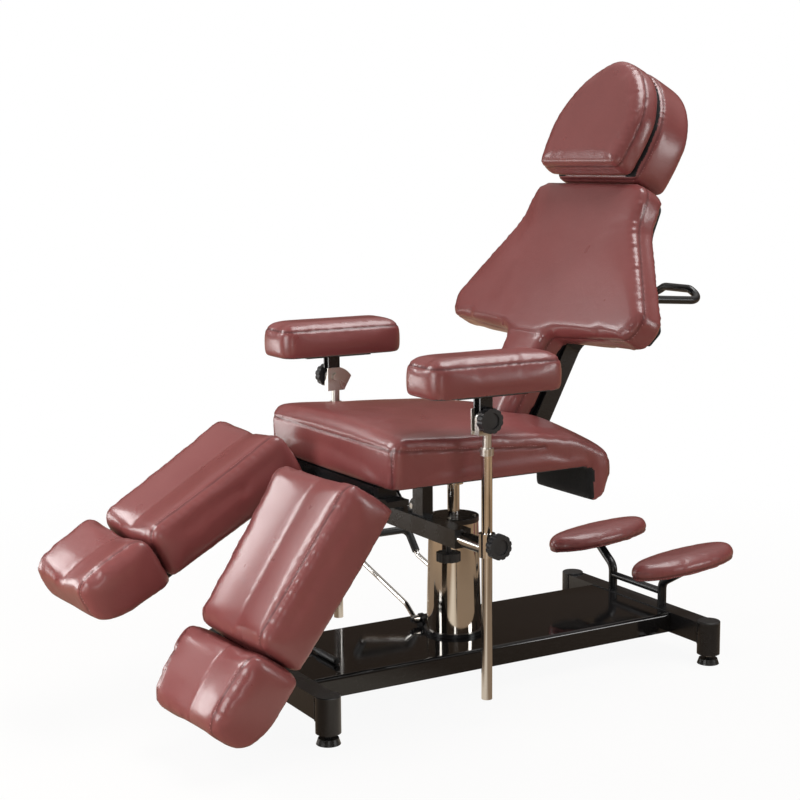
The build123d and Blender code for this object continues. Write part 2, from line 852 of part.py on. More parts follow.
def seat_cushion():
    """A crowned seat whose rear edge rolls down into a hanging wall on each side of a notch."""
    front = seat_front_height
    fall = front - seat_rear_height
    middle_y = (seat_front_y + seat_rear_y) / 2
    run = seat_rear_y - middle_y
    stations = (
        (seat_front_y, front - seat_front_crown, seat_front_crown * 0.6, seat_draw * 2),
        (seat_front_y + seat_front_crown, front, seat_front_crown, 0),
        (middle_y, front - fall * 0.17, seat_front_crown, 0),
        (middle_y + run * 0.4, front - fall * 0.28, seat_front_crown * 1.3, 0),
        (middle_y + run * 0.71, front - fall * 0.5, seat_front_crown * 1.7, 0),
        (seat_rear_y, seat_rear_height, seat_front_crown * 1.7, 0),
    )
    cushion = lofted(stations, seat_section,
                     lambda y: Plane(origin=(0, y, frame_top_z), x_dir=(1, 0, 0), z_dir=(0, -1, 0)))
    cushion += hanging_wall()
    return [cushion - seat_notch(0) - seat_board()[0]]


def hanging_wall():
    """The wall that hangs behind the seat board, rounded at its outer face."""
    depth = wall_rear_y - wall_front_y
    rise = wall_top_z - wall_low_z
    points = ((wall_front_y, wall_low_z), (wall_front_y + depth * 0.2, wall_low_z),
              (wall_front_y + depth * 0.8, wall_low_z + rise * 0.3),
              (wall_rear_y, wall_low_z + rise * 0.74), (seat_rear_y, wall_top_z),
              (wall_front_y, wall_top_z))
    place = Plane(origin=(-seat_half_x, 0, 0), x_dir=(0, 1, 0), z_dir=(1, 0, 0))
    bulge = seat_draw
    face = outline_face(points, (0, bulge, bulge, bulge / 2, 0, 0), place)
    return extrude(face, seat_half_x * 2)


def arm_beam():
    """A square tube across the chair with a thick collar at each end that guides a slide tube."""
    half = beam_side / 2
    y_span = (beam_y - half, beam_y + half)
    z_span = (beam_z - half, beam_z + half)
    beam = block((-beam_half_x, beam_half_x), y_span, z_span)
    inner_x = beam_half_x - beam_collar
    inner = half - beam_wall
    beam -= block((-inner_x, inner_x), (beam_y - inner, beam_y + inner),
                  (beam_z - inner, beam_z + inner))
    end = beam_half_x + overrun
    beam -= rod((-end, beam_y, beam_z), (end, beam_y, beam_z), slide_tube_radius + running_fit)
    for x in (-width_knob_x, width_knob_x):
        low = (x, beam_y, z_span[0] - overrun)
        beam -= rod(low, (x, beam_y, beam_z), knob_stem_radius + running_fit)
    return [beam]


def beam_hangers():
    """Two upright bars between the seat frame and the beam, each with a quarter-round gusset."""
    beam_top = beam_z + beam_side / 2
    y_span = (beam_y - hanger_half_y, beam_y + hanger_half_y)
    hanger = block((rail_inner_x, rail_outer_x), y_span, (beam_top, frame_low_z))
    corner = (rail_inner_x, beam_y - gusset_thickness / 2, beam_top)
    far_corner = (rail_inner_x, beam_y + gusset_thickness / 2, beam_top)
    gusset = rod(corner, far_corner, gusset_radius)
    gusset &= block((rail_inner_x - gusset_radius, rail_inner_x), y_span,
                    (beam_top, beam_top + gusset_radius))
    bolt_x = rail_inner_x - gusset_bolt_inset
    bolt_z = beam_top + gusset_bolt_inset
    gusset -= rod((bolt_x, y_span[0], bolt_z), (bolt_x, y_span[1], bolt_z), bolt_shank_radius)
    side = hanger + gusset
    return [side, mirrored(side)]


def arm_tube():
    """The slide tube of an armrest with the sleeve at its end that grips the post."""
    tube = rod((slide_tube_inner_x, beam_y, beam_z), (arm_x, beam_y, beam_z), slide_tube_radius)
    core_end = arm_x - sleeve_radius
    tube -= rod((slide_tube_inner_x - overrun, beam_y, beam_z), (core_end, beam_y, beam_z),
                slide_tube_radius - slide_tube_wall)
    tube += rod((arm_x, beam_y, sleeve_low_z), (arm_x, beam_y, sleeve_high_z), sleeve_radius)
    boss_end = arm_x + sleeve_radius + cushion_gap + knob_stem_radius
    tube += rod((arm_x, beam_y, height_knob_z), (boss_end, beam_y, height_knob_z), knob_hub_radius)
    tube -= rod((arm_x, beam_y, sleeve_low_z - slide_tube_radius),
                (arm_x, beam_y, sleeve_high_z + overrun), arm_post_radius + running_fit)
    return tube - rod((arm_x, beam_y, height_knob_z), (boss_end + overrun, beam_y, height_knob_z),
                      knob_stem_radius + running_fit)


def arm_post():
    """The chromed post of an armrest, a tube closed at its foot."""
    post = rod((arm_x, beam_y, arm_post_low_z), (arm_x, beam_y, arm_post_top_z), arm_post_radius)
    bore_low = arm_post_low_z + arm_post_radius
    return post - rod((arm_x, beam_y, bore_low), (arm_x, beam_y, arm_post_top_z + overrun),
                      arm_post_radius - arm_post_wall)


def arm_stem():
    """The stem that turns in the post, with its eye and sector plate, and the tilt bolt."""
    stem_radius = arm_post_radius - arm_post_wall - running_fit
    collar_low = arm_post_top_z + cushion_gap
    collar_top = collar_low + stem_collar_height
    neck_top = tilt_z - sector_drop + bridge_height
    body = rod((arm_x, beam_y, arm_post_top_z - stem_depth), (arm_x, beam_y, neck_top), stem_radius)
    body += rod((arm_x, beam_y, collar_low), (arm_x, beam_y, collar_top), stem_collar_radius)
    x_span = (arm_x - eye_half_x, arm_x + eye_half_x)
    y_span = (tilt_y - eye_radius, tilt_y + eye_radius)
    body += block(x_span, y_span, (tilt_z - sector_drop, tilt_z))
    body += rod((x_span[0], tilt_y, tilt_z), (x_span[1], tilt_y, tilt_z), eye_radius)
    body += sector_plate()
    body += block((sector_plate_x(), x_span[1]), y_span, (tilt_z - sector_drop, neck_top))
    body -= rod((sector_plate_x() - overrun, tilt_y, tilt_z), (x_span[1] + overrun, tilt_y, tilt_z),
                tilt_bolt_radius)
    head_x = sector_plate_x() - cheek_gap
    bolt_head = hexagon((head_x, tilt_y, tilt_z), (head_x - tilt_head_height, tilt_y, tilt_z),
                        bolt_head_radius * 1.4)
    shaft = rod((head_x, tilt_y, tilt_z), (arm_x + tilt_bolt_end, tilt_y, tilt_z), tilt_bolt_radius)
    return [body, bolt_head + shaft]


def sector_plate_x():
    """The inner face of a stem's sector plate, which stands beyond the inner cheek."""
    return arm_x - eye_half_x - cheek_gap - cheek_thickness - cheek_gap - sector_thickness


def sector_plate():
    """The plate beside the bracket, with an arched upper edge that points to the rear."""
    place = Plane(origin=(sector_plate_x(), tilt_y, tilt_z), x_dir=(0, 1, 0), z_dir=(1, 0, 0))
    points = ((-sector_front, -sector_drop), (sector_foot, -sector_drop), (sector_reach, 0),
              (eye_radius, sector_rise), (-sector_front, sector_rise))
    arch = sector_thickness
    return extrude(outline_face(points, (0, 0, arch, 0, 0), place), sector_thickness)


def pad_bracket():
    """The bracket under an armrest cushion: two cheeks that straddle the stem, and a plate."""
    plate_low = arm_pad_low_z - bracket_top_height
    centre_y = (arm_pad_front_y + arm_pad_rear_y) / 2
    bracket = block((arm_x - bracket_top_half_x, arm_x + bracket_top_half_x),
                    (centre_y - bracket_top_half_y, centre_y + bracket_top_half_y),
                    (plate_low, arm_pad_low_z))
    inner = eye_half_x + cheek_gap
    for start in (arm_x + inner, arm_x - inner - cheek_thickness):
        cheek = cheek_profile(start)
        cheek -= rod((start - overrun, tilt_y, tilt_z),
                     (start + cheek_thickness + overrun, tilt_y, tilt_z),
                     tilt_bolt_radius + running_fit)
        bracket += cheek
    return bracket


def cheek_profile(start):
    """One cheek of a tilt bracket, a strap with a round end."""
    place = Plane(origin=(start, tilt_y, tilt_z), x_dir=(0, 1, 0), z_dir=(1, 0, 0))
    top = arm_pad_low_z - bracket_top_height - tilt_z
    points = ((-eye_radius, 0), (eye_radius, 0), (cheek_half_y, top), (-cheek_half_y, top))
    return extrude(outline_face(points, (eye_radius * 0.9, 0, 0, 0), place), cheek_thickness)


def rounded_pad(half_x, half_y, corner, levels):
    """A pad whose rounded plan is drawn in by a different amount at each level."""
    faces = []
    for z, inset in levels:
        plan = RectangleRounded(2 * (half_x - inset), 2 * (half_y - inset), corner - inset)
        faces.append(Pos(0, 0, z) * plan)
    return loft(faces, ruled=True)


def arm_cushion():
    """The long cushion of an armrest."""
    height = arm_pad_height
    levels = ((0, arm_pad_draw), (height * 0.12, arm_pad_draw * 0.2), (height * 0.5, 0),
              (height - arm_pad_crown * 2, arm_pad_draw * 0.4),
              (height - arm_pad_crown, arm_pad_draw * 1.6), (height, arm_pad_draw * 4))
    half_y = (arm_pad_rear_y - arm_pad_front_y) / 2
    centre_y = (arm_pad_rear_y + arm_pad_front_y) / 2
    pad = rounded_pad(arm_pad_half_x, half_y, arm_pad_corner, levels)
    return Pos(arm_x, centre_y, arm_pad_low_z) * pad


def width_knob():
    """The knob under the beam whose screw clamps the slide tube."""
    grip_top = beam_z - beam_side / 2 - width_knob_drop
    tip = beam_z - slide_tube_radius - cushion_gap
    knob = hand_knob(0, knob_height, grip_top - tip, knob_stem_radius)
    return Pos(width_knob_x, beam_y, grip_top) * Rot(180, 0, 0) * knob


def height_knob():
    """The knob on the sleeve whose screw clamps the post."""
    tip = arm_post_radius + cushion_gap
    grip = sleeve_radius + height_knob_stand_off
    knob = hand_knob(grip, grip + knob_height, tip, knob_stem_radius)
    return Pos(arm_x, beam_y, height_knob_z) * Rot(0, 90, 0) * knob


def tilt_knob():
    """The knob on the tilt bolt, which turns on the bolt's threaded end."""
    knob = hand_knob(tilt_knob_grip, tilt_knob_end, tilt_knob_start, knob_hub_radius)
    knob -= rod((0, 0, tilt_knob_start - overrun), (0, 0, tilt_bolt_end + cushion_gap),
                tilt_bolt_radius + running_fit)
    return Pos(arm_x, tilt_y, tilt_z) * Rot(0, 90, 0) * knob


def spread_place(side, yaw):
    """Where a leg bracket stands: on its upright pivot, turned outward by its yaw."""
    return Pos(side * spread_x, front_tube_y, 0) * Rot(0, 0, side * yaw)


def leg_place(side, yaw, pitch):
    """Where a leg hangs: on the raising hinge of its bracket, lowered by its pitch."""
    return spread_place(side, yaw) * Pos(0, raise_y - front_tube_y, raise_z) * Rot(pitch, 0, 0)


def leg_bracket(side, yaw):
    """A plate with a spigot that turns in the seat frame and two ears with the hinge pin."""
    plate_top = frame_low_z - bracket_gap
    front = bracket_plate_front_y - front_tube_y
    rear = bracket_plate_rear_y - front_tube_y
    axis_y = raise_y - front_tube_y
    half = bracket_plate_half_x
    plate = block((-half, half), (front, rear), (bracket_plate_low_z, plate_top))
    plate += rod((0, 0, bracket_plate_low_z), (0, 0, frame_top_z - overrun), spread_pin_radius)
    for ear_low in (-half, half - ear_thickness):
        ear_high = ear_low + ear_thickness
        ear = rod((ear_low, axis_y, raise_z), (ear_high, axis_y, raise_z), ear_radius)
        ear += block((ear_low, ear_high), (axis_y, front + overrun), (raise_z - ear_radius, plate_top))
        plate += ear
    plate -= rod((-half - overrun, axis_y, raise_z), (half + overrun, axis_y, raise_z),
                 raise_pin_radius)
    pin = rod((-half, axis_y, raise_z), (half, axis_y, raise_z), raise_pin_radius)
    return [spread_place(side, yaw) * piece for piece in (plate, pin)]


def tube_spans():
    """The two tubes of a leg frame across the leg."""
    return ((leg_tube_inner_x, leg_tube_outer_x), (-leg_tube_outer_x, -leg_tube_inner_x))


def leg_frame():
    """Two rectangular tubes with eyes on the hinge pin, under a pan that carries the cushion."""
    pan_low = leg_pad_base - leg_pan_height
    pan_half = leg_pad_end_half_x - leg_pan_inset
    pan_end = leg_pad_start + leg_pad_length - leg_pan_inset
    frame = block((-pan_half, pan_half), (-pan_end, -leg_tube_start - leg_pan_height),
                  (pan_low, leg_pad_base))
    for x_span in tube_spans():
        z_span = (leg_tube_low, pan_low)
        tube = block(x_span, (-leg_tube_end, -leg_tube_start), z_span)
        tube += block(x_span, (-leg_tube_start, 0), (leg_tube_low, pan_low - leg_pan_height))
        tube += rod((x_span[0], 0, 0), (x_span[1], 0, 0), leg_eye_radius)
        tube -= rod_channel(x_span, z_span, leg_tube_start + leg_eye_radius, running_fit)
        tube -= rod((x_span[0] - overrun, 0, 0), (x_span[1] + overrun, 0, 0),
                    raise_pin_radius + running_fit)
        frame += tube
    return frame


def rod_channel(x_span, z_span, start, gap):
    """The space in a leg tube that a foot rod slides in, or with no gap the rod's section."""
    wall = leg_tube_wall
    return block((x_span[0] + wall - gap, x_span[1] - wall + gap), (-leg_tube_end - overrun, -start),
                 (z_span[0] + wall - gap, z_span[1] - wall + gap))


def trough_section(station, place):
    """A leg or foot section with upright sides and a shallow V from crest to crest."""
    run, half, low, high, trough = station
    points = ((-half, low), (half, low), (half, high), (0, high - trough), (-half, high))
    bulge = pad_side_draw
    return outline_face(points, (0, bulge, bulge, bulge, bulge), place)


def leg_section_place(run):
    """A section plane square to a leg at a distance from its hinge."""
    return Plane(origin=(0, -run, leg_pad_base), x_dir=(1, 0, 0), z_dir=(0, -1, 0))


def leg_cushion():
    """The long cushion of a leg, with a trough along it."""
    end = leg_pad_start + leg_pad_length
    soft = leg_pad_round
    start_half = leg_pad_start_half_x
    end_half = leg_pad_end_half_x
    top = leg_pad_start_height
    foot = leg_pad_end_height
    stations = ((leg_pad_start, start_half - soft / 2, 0, top - soft, leg_trough * 0.6),
                (leg_pad_start + soft, start_half, 0, top, leg_trough),
                (end - soft, end_half, 0, foot, leg_trough),
                (end, end_half - soft / 2, 0, foot - soft, leg_trough * 0.6))
    return lofted(stations, trough_section, leg_section_place)


def foot_slide():
    """Two rods that slide in the leg tubes and carry the pan of the foot cushion."""
    pan_low = leg_pad_base - leg_pan_height
    z_low = leg_tube_low + leg_tube_wall
    z_high = pan_low - leg_tube_wall
    pan_start = foot_pad_start + foot_pan_margin / 2
    pan_half = foot_pad_end_half_x - foot_pan_margin
    slide = block((-pan_half, pan_half), (-foot_pan_end, -pan_start), (pan_low, leg_pad_base))
    for low, high in tube_spans():
        x_span = (low + leg_tube_wall, high - leg_tube_wall)
        slide += block(x_span, (-foot_rod_end, -foot_rod_start), (z_low, z_high))
        slide += block(x_span, (-foot_rod_end, -pan_start), (z_high - overrun, pan_low + overrun))
    return slide


def foot_cushion():
    """The short cushion under a foot, which narrows and rises to a rounded end."""
    start = foot_pad_start
    run = foot_pad_end - start
    first = foot_pad_start_half_x
    last = foot_pad_end_half_x
    top = foot_pad_height
    soft = leg_pad_round
    lift = foot_pad_end_rise
    stations = ((start, first - soft / 2, 0, top - soft, foot_trough * 0.6),
                (start + soft, first, 0, top, foot_trough),
                (start + run * 0.6, (first + last) / 2, 0, top, foot_trough),
                (start + run * 0.87, last, lift * 0.3, top - soft / 2, foot_trough),
                (foot_pad_end, last - soft, lift, top - soft * 1.5, foot_trough * 0.6))
    return lofted(stations, trough_section, leg_section_place)


def back_place():
    """The back's own frame: X across, Y up the back and Z out of its front face."""
    lean = radians(back_lean_angle)
    plane = Plane(origin=(0, hinge_y, hinge_z), x_dir=(1, 0, 0), z_dir=(0, -cos(lean), sin(lean)))
    return plane.location


def back_outline():
    """The outline of the back: shoulders, wings and the tab between the seat's flaps."""
    right = [(x * back_half_x, y * back_top) for x, y in back_corner_shares]
    left = [(-x, y) for x, y in reversed(right)]
    rounds = [share * back_half_x for share in back_round_shares]
    return make_face(FilletPolyline(*right, *left, radius=rounds + rounds[::-1], close=True))


def swept_slab(outline, depth, thickness):
    """The layer of an outline's prism that starts at a depth behind the swept front face."""
    reach = back_half_x
    prism = extrude(Pos(0, 0, -reach) * outline, reach * 2)
    top = back_top + reach
    centre = back_face - back_sweep_radius
    front = back_sweep_radius - depth
    outer = rod((0, -reach, centre), (0, top, centre), front)
    inner = rod((0, -reach - overrun, centre), (0, top + overrun, centre), front - thickness)
    return (prism & outer) - inner


def back_cushion():
    """The winged cushion of the back."""
    return [back_place() * swept_slab(back_outline(), 0, back_thickness)]


def back_board():
    """The plywood board behind the back cushion."""
    outline = offset(back_outline(), amount=-back_board_inset)
    return [back_place() * swept_slab(outline, back_thickness, board_height)]


def under_board(shape):
    """The part of a shape behind the back board."""
    centre = back_face - back_sweep_radius
    inner = rod((0, -back_half_x, centre), (0, back_top + back_half_x, centre),
                back_sweep_radius - back_thickness - board_height)
    return shape & inner


def back_frame():
    """Uprights that turn on the hinge pin, with cross tubes and webs welded between them."""
    z_span = (upright_low, upright_high)
    pieces = [back_upright()]
    for share in (cross_low_share, cross_high_share):
        y_span = (share * back_top, share * back_top + cross_height)
        pieces.append(block((upright_outer_x, cross_half_x), y_span, z_span))
    pieces.append(corner_fillet(z_span))
    pieces += [mirrored(piece) for piece in pieces]
    for share in (cross_low_share, cross_high_share):
        y_span = (share * back_top, share * back_top + cross_height)
        pieces.append(block((-upright_inner_x, upright_inner_x), y_span, z_span))
    return [back_place() * under_board(piece) for piece in pieces]


def back_upright():
    """One upright of the back, with its hinge bore and the socket of a headrest rod."""
    x_span = (upright_inner_x, upright_outer_x)
    upright = block(x_span, (0, upright_top), (upright_low, upright_high))
    upright += rod((upright_inner_x, 0, 0), (upright_outer_x, 0, 0), -upright_low)
    low = (upright_inner_x - overrun, 0, 0)
    upright -= rod(low, (upright_outer_x + overrun, 0, 0), hinge_pin_radius + running_fit)
    socket_low = (head_rod_x, upright_top - upright_socket, head_rod_z)
    socket_high = (head_rod_x, upright_top + overrun, head_rod_z)
    return upright - rod(socket_low, socket_high, head_rod_radius + running_fit)


def corner_fillet(z_span):
    """The rounded web between an upright and the lower cross tube."""
    low = cross_low_share * back_top
    edge = upright_outer_x + fillet_radius
    web = block((upright_outer_x, edge), (low - fillet_radius, low), z_span)
    start = (edge, low - fillet_radius, z_span[0] - overrun)
    return web - rod(start, (edge, low - fillet_radius, z_span[1] + overrun), fillet_radius)


def back_handle():
    """The push handle, a bent tube with both ends on the upper cross tube."""
    root_y = hinge_y + handle_root_run() - handle_radius * 2
    near = [(handle_half_x, root_y, handle_root_z), (handle_half_x, handle_y, handle_z),
            (handle_crest_half_x, handle_y, handle_crest_z)]
    far = [(-x, y, z) for x, y, z in reversed(near)]
    bends = [handle_bend, handle_crest_bend, handle_crest_bend, handle_bend]
    tube = bent_rod(near + far, bends, handle_radius)
    return [tube - back_place() * block((-cross_half_x, cross_half_x), (0, back_top), (upright_low, 0))]


def handle_root_run():
    """How far behind the hinge the handle's root meets the rear face of the cross tube."""
    lean = radians(back_lean_angle)
    rise = handle_root_z - hinge_z
    return (rise * sin(lean) - upright_low) / cos(lean)


def headrest_rods():
    """Two rods joined by a cross tube that the head bracket tilts on."""
    rods = rod((-head_tube_half_x, head_pivot, head_rod_z), (head_tube_half_x, head_pivot, head_rod_z),
               head_tube_radius)
    for x in (-head_rod_x, head_rod_x):
        rods += rod((x, head_rod_low, head_rod_z), (x, head_pivot, head_rod_z), head_rod_radius)
    return [back_place() * rods]


def head_bracket():
    """A plate behind the head board with two clamps round the cross tube."""
    face = head_recess_face
    low = head_pivot - clamp_radius
    high = head_recess_top - head_board_inset
    bracket = block((-head_plate_half_x, head_plate_half_x), (low, high),
                    (face - head_plate_height, face))
    for x_low, x_high in ((clamp_inner_x, clamp_outer_x), (-clamp_outer_x, -clamp_inner_x)):
        bracket += block((x_low, x_high), (low, head_pivot + clamp_radius),
                         (head_rod_z, face - head_plate_height))
        bracket += rod((x_low, head_pivot, head_rod_z), (x_high, head_pivot, head_rod_z), clamp_radius)
    span = clamp_outer_x + overrun
    bracket -= rod((-span, head_pivot, head_rod_z), (span, head_pivot, head_rod_z),
                   head_tube_radius + running_fit)
    return [back_place() * bracket]


def head_outline(inset):
    """The outline of the head cushion: a straight foot and an arch over it."""
    low_half = head_low_half_x - inset
    half = head_half_x - inset
    low = head_low + inset
    shoulder = head_top - head_half_x
    points = ((-low_half, low), (low_half, low), (half, shoulder), (0, head_top - inset),
              (-half, shoulder))
    return points, half


def head_face(inset, z):
    """A head outline as a face at a height over the back's frame."""
    points, half = head_outline(inset)
    arch = half * 0.22
    side = pad_side_draw
    return outline_face(points, (0, side, arch, arch, side), Plane(origin=(0, 0, z)))


def head_board():
    """The plywood board inside the head cushion."""
    face = head_face(head_board_inset, head_recess_face)
    return [back_place() * extrude(face, board_height)]


def head_cushion():
    """The head cushion, with its board inside and a recess behind for the bracket."""
    rear = back_face - head_thickness
    levels = ((rear, head_edge_round), (rear + head_edge_round, 0),
              (back_face - head_edge_round, 0), (back_face, head_edge_round))
    cushion = loft([head_face(inset, z) for z, inset in levels], ruled=True)
    cushion -= block((-head_recess_half_x, head_recess_half_x),
                     (head_low - overrun, head_recess_top), (rear - overrun, head_recess_face))
    cushion -= extrude(head_face(head_board_inset, head_recess_face), board_height)
    return [back_place() * cushion]


def head_pillow():
    """The pillow in front of the head cushion, thinner towards its edge."""
    low = back_face + cushion_gap
    high = low + pillow_thickness
    levels = ((low, pillow_draw), (low + pillow_draw, 0), (low + pillow_thickness * 0.45, 0),
              (low + pillow_thickness * 0.8, pillow_front_inset * 0.35),
              (high, pillow_front_inset))
    return [back_place() * loft([head_face(inset, z) for z, inset in levels], ruled=True)]


def single_nodes():
    """The nodes that the chair has once."""
    makers = (corner_posts, post_caps, levelling_feet, crossbars, base_deck, pump_flange, base_bolts,
              pump_cylinder, pump_cover, pump_cap, lift_ram, swivel_hub, pedal_lugs, pedal_bail,
              pedal_sleeve, deck_lever, rest_frame, rest_pads, seat_frame, frame_bolts, hinge_pin,
              seat_board, seat_cushion, arm_beam, beam_hangers, back_cushion, back_board, back_frame,
              back_handle, headrest_rods, head_bracket, head_board, head_cushion, head_pillow)
    return {maker.__name__: maker() for maker in makers}


def armrest_nodes():
    """The nodes of both armrests: the far one mirrors the near one, with its post set higher."""
    nodes = {}
    on_post = (arm_post, arm_stem, pad_bracket, arm_cushion, tilt_knob)
    for maker in (arm_tube, width_knob, height_knob) + on_post:
        made = maker()
        pieces = made if isinstance(made, list) else [made]
        lift = Pos(0, 0, far_post_lift if maker in on_post else 0)
        nodes[f"near_{maker.__name__}"] = pieces
        nodes[f"far_{maker.__name__}"] = [lift * mirrored(piece) for piece in pieces]
    return nodes


def leg_nodes():
    """The nodes of both legs at their own spread and pitch."""
    nodes = {}
    for name, side, yaw, pitch in (("near", 1, near_leg_yaw_angle, near_leg_pitch_angle),
                                   ("far", -1, far_leg_yaw_angle, far_leg_pitch_angle)):
        place = leg_place(side, yaw, pitch)
        nodes[f"{name}_leg_bracket"] = leg_bracket(side, yaw)
        nodes[f"{name}_leg_frame"] = [place * leg_frame()]
        nodes[f"{name}_leg_cushion"] = [place * leg_cushion()]
        nodes[f"{name}_foot_slide"] = [place * foot_slide()]
        nodes[f"{name}_foot_cushion"] = [place * foot_cushion()]
    return nodes


def middle_shift(nodes):
    """The move along Y that brings the middle of the whole part over the origin."""
    low = min(piece.bounding_box().min.Y for pieces in nodes.values() for piece in pieces)
    high = max(piece.bounding_box().max.Y for pieces in nodes.values() for piece in pieces)
    return -(low + high) / 2


all_nodes = {**single_nodes(), **armrest_nodes(), **leg_nodes()}
shift_y = round(middle_shift(all_nodes), 1)
os.makedirs("parts", exist_ok=True)
for node_name, node_pieces in all_nodes.items():
    placed = [Pos(0, shift_y, 0) * piece for piece in node_pieces]
    solids = [solid for piece in placed for solid in piece.solids()]
    export_step(solids[0] if len(solids) == 1 else Compound(solids), f"parts/{node_name}.step")
print("nodes", len(all_nodes), "shift along Y", round(shift_y, 3))
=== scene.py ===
import math

import bmesh
import bpy
from mathutils import Matrix, Vector, noise


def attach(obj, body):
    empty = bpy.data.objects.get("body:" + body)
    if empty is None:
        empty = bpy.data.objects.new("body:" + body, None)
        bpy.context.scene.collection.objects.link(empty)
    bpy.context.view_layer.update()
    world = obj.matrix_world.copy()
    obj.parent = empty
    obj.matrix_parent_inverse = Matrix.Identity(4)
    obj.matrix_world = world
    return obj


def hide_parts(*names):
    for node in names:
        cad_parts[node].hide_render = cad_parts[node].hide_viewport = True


# A tattoo chair: a foot-pumped column on a four-foot base carries a seat, a reclining winged
# back with a head cushion, two leg pads that raise and spread, and two armrests on posts.
# Metres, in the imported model's own frame: the client's feet point to -Y.
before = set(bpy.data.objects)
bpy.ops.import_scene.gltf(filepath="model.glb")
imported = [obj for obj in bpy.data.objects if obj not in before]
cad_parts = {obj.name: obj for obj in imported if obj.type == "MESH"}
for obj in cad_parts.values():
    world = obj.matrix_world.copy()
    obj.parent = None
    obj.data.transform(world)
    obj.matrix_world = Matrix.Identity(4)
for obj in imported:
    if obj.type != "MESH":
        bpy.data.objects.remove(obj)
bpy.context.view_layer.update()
shift_y = 0.1268

# Camera
# The photograph was taken from the chair's front quarter, a little above the seat, with a
# lens of narrow view.
view_azimuth = math.radians(59.75)
view_elevation = math.radians(8.61)
view_roll = math.radians(-0.44)
camera_data = bpy.data.cameras.new("camera")
camera_data.sensor_width = 36.0
camera_data.lens = 72.45
camera_data.clip_end = 60.0
camera = bpy.data.objects.new("camera", camera_data)
bpy.context.scene.collection.objects.link(camera)
toward_camera = Vector((math.sin(view_azimuth) * math.cos(view_elevation),
                        -math.cos(view_azimuth) * math.cos(view_elevation), math.sin(view_elevation)))
level_right = Vector((math.cos(view_azimuth), math.sin(view_azimuth), 0))
level_up = toward_camera.cross(level_right)
camera_right = level_right * math.cos(view_roll) + level_up * math.sin(view_roll)
camera_up = level_up * math.cos(view_roll) - level_right * math.sin(view_roll)
camera_turn = Matrix((camera_right, camera_up, toward_camera)).transposed().to_4x4()
camera.matrix_world = Matrix.Translation((2.859, -1.829 + shift_y, 1.106)) @ camera_turn
bpy.context.scene.camera = camera

# Studio
# A white sweep under soft lamps: a large one overhead, one before the foot end, two at the
# left and one at each side of the camera, which draw the light along edges and chrome.
bpy.context.scene.view_settings.view_transform = "Standard"
ambient_strength = 0.30
room_tones = ((0.08, (0.06, 0.04, 0.028, 1)), (0.37, (0.09, 0.065, 0.048, 1)),
              (0.49, (0.42, 0.38, 0.35, 1)), (0.70, (0.50, 0.48, 0.46, 1)))


def wire(tree, *pairs):
    """Links each pair of sockets."""
    for start, end in pairs:
        tree.links.new(start, end)


studio_world = bpy.data.worlds.new("studio")
bpy.context.scene.world = studio_world
studio_world.use_nodes = True
sky = studio_world.node_tree
sky.nodes.clear()
sky_out = sky.nodes.new("ShaderNodeOutputWorld")
sky_seen = sky.nodes.new("ShaderNodeBackground")
sky_light = sky.nodes.new("ShaderNodeBackground")
sky_mirror = sky.nodes.new("ShaderNodeBackground")
sky_mix = sky.nodes.new("ShaderNodeMixShader")
mirror_mix = sky.nodes.new("ShaderNodeMixShader")
sky_path = sky.nodes.new("ShaderNodeLightPath")
sky_place = sky.nodes.new("ShaderNodeTexCoord")
sky_split = sky.nodes.new("ShaderNodeSeparateXYZ")
sky_bands = sky.nodes.new("ShaderNodeValToRGB")
sky_seen.inputs["Color"].default_value = (1, 1, 1, 1)
sky_light.inputs["Color"].default_value = (1, 1, 1, 1)
sky_light.inputs["Strength"].default_value = ambient_strength
ramp = sky_bands.color_ramp
ramp.elements[0].position = 0.0
ramp.elements[0].color = (0.11, 0.08, 0.058, 1)
ramp.elements[1].position = 1.0
ramp.elements[1].color = (0.34, 0.32, 0.30, 1)
for place, tone in room_tones:
    ramp.elements.new(place).color = tone
wire(sky, (sky_place.outputs["Generated"], sky_split.inputs[0]),
     (sky_split.outputs["Z"], sky_bands.inputs["Fac"]),
     (sky_bands.outputs["Color"], sky_mirror.inputs["Color"]),
     (sky_path.outputs["Is Glossy Ray"], mirror_mix.inputs["Fac"]),
     (sky_light.outputs[0], mirror_mix.inputs[1]), (sky_mirror.outputs[0], mirror_mix.inputs[2]),
     (sky_path.outputs["Is Camera Ray"], sky_mix.inputs["Fac"]),
     (mirror_mix.outputs[0], sky_mix.inputs[1]), (sky_seen.outputs[0], sky_mix.inputs[2]),
     (sky_mix.outputs[0], sky_out.inputs["Surface"]))


def soft_lamp(name, place, aim, width, height, watts, spread=180):
    """A rectangular studio lamp that faces a point and lights a cone of some degrees."""
    data = bpy.data.lights.new(name, "AREA")
    data.shape = "RECTANGLE"
    data.size = width
    data.size_y = height
    data.energy = watts
    data.spread = math.radians(spread)
    lamp = bpy.data.objects.new(name, data)
    bpy.context.scene.collection.objects.link(lamp)
    direction = Vector(aim) - Vector(place)
    lamp.matrix_world = Matrix.Translation(place) @ direction.to_track_quat("-Z", "Y").to_matrix().to_4x4()


soft_lamp("overhead_lamp", (0.2, 1.25, 4.4), (0, 0.1, 0.5), 3.0, 2.4, 156)
soft_lamp("foot_lamp", (0.3, -2.2, 0.85), (0, -0.6, 0.25), 1.2, 1.0, 8.5, spread=95)
soft_lamp("low_left_lamp", (-2.4, -1.7, 0.30), (0, -0.2, 0.5), 1.0, 0.7, 13)
soft_lamp("high_left_lamp", (-2.0, -1.95, 1.95), (0.1, -0.6, 0.3), 0.9, 0.9, 31)
soft_lamp("side_lamp", (2.9, 2.6, 1.40), (0.1, 0.45, 1.2), 0.8, 1.0, 26)
soft_lamp("camera_lamp", (4.3, -2.1, 0.75), (0, 0.1, 0.5), 0.45, 1.5, 14)

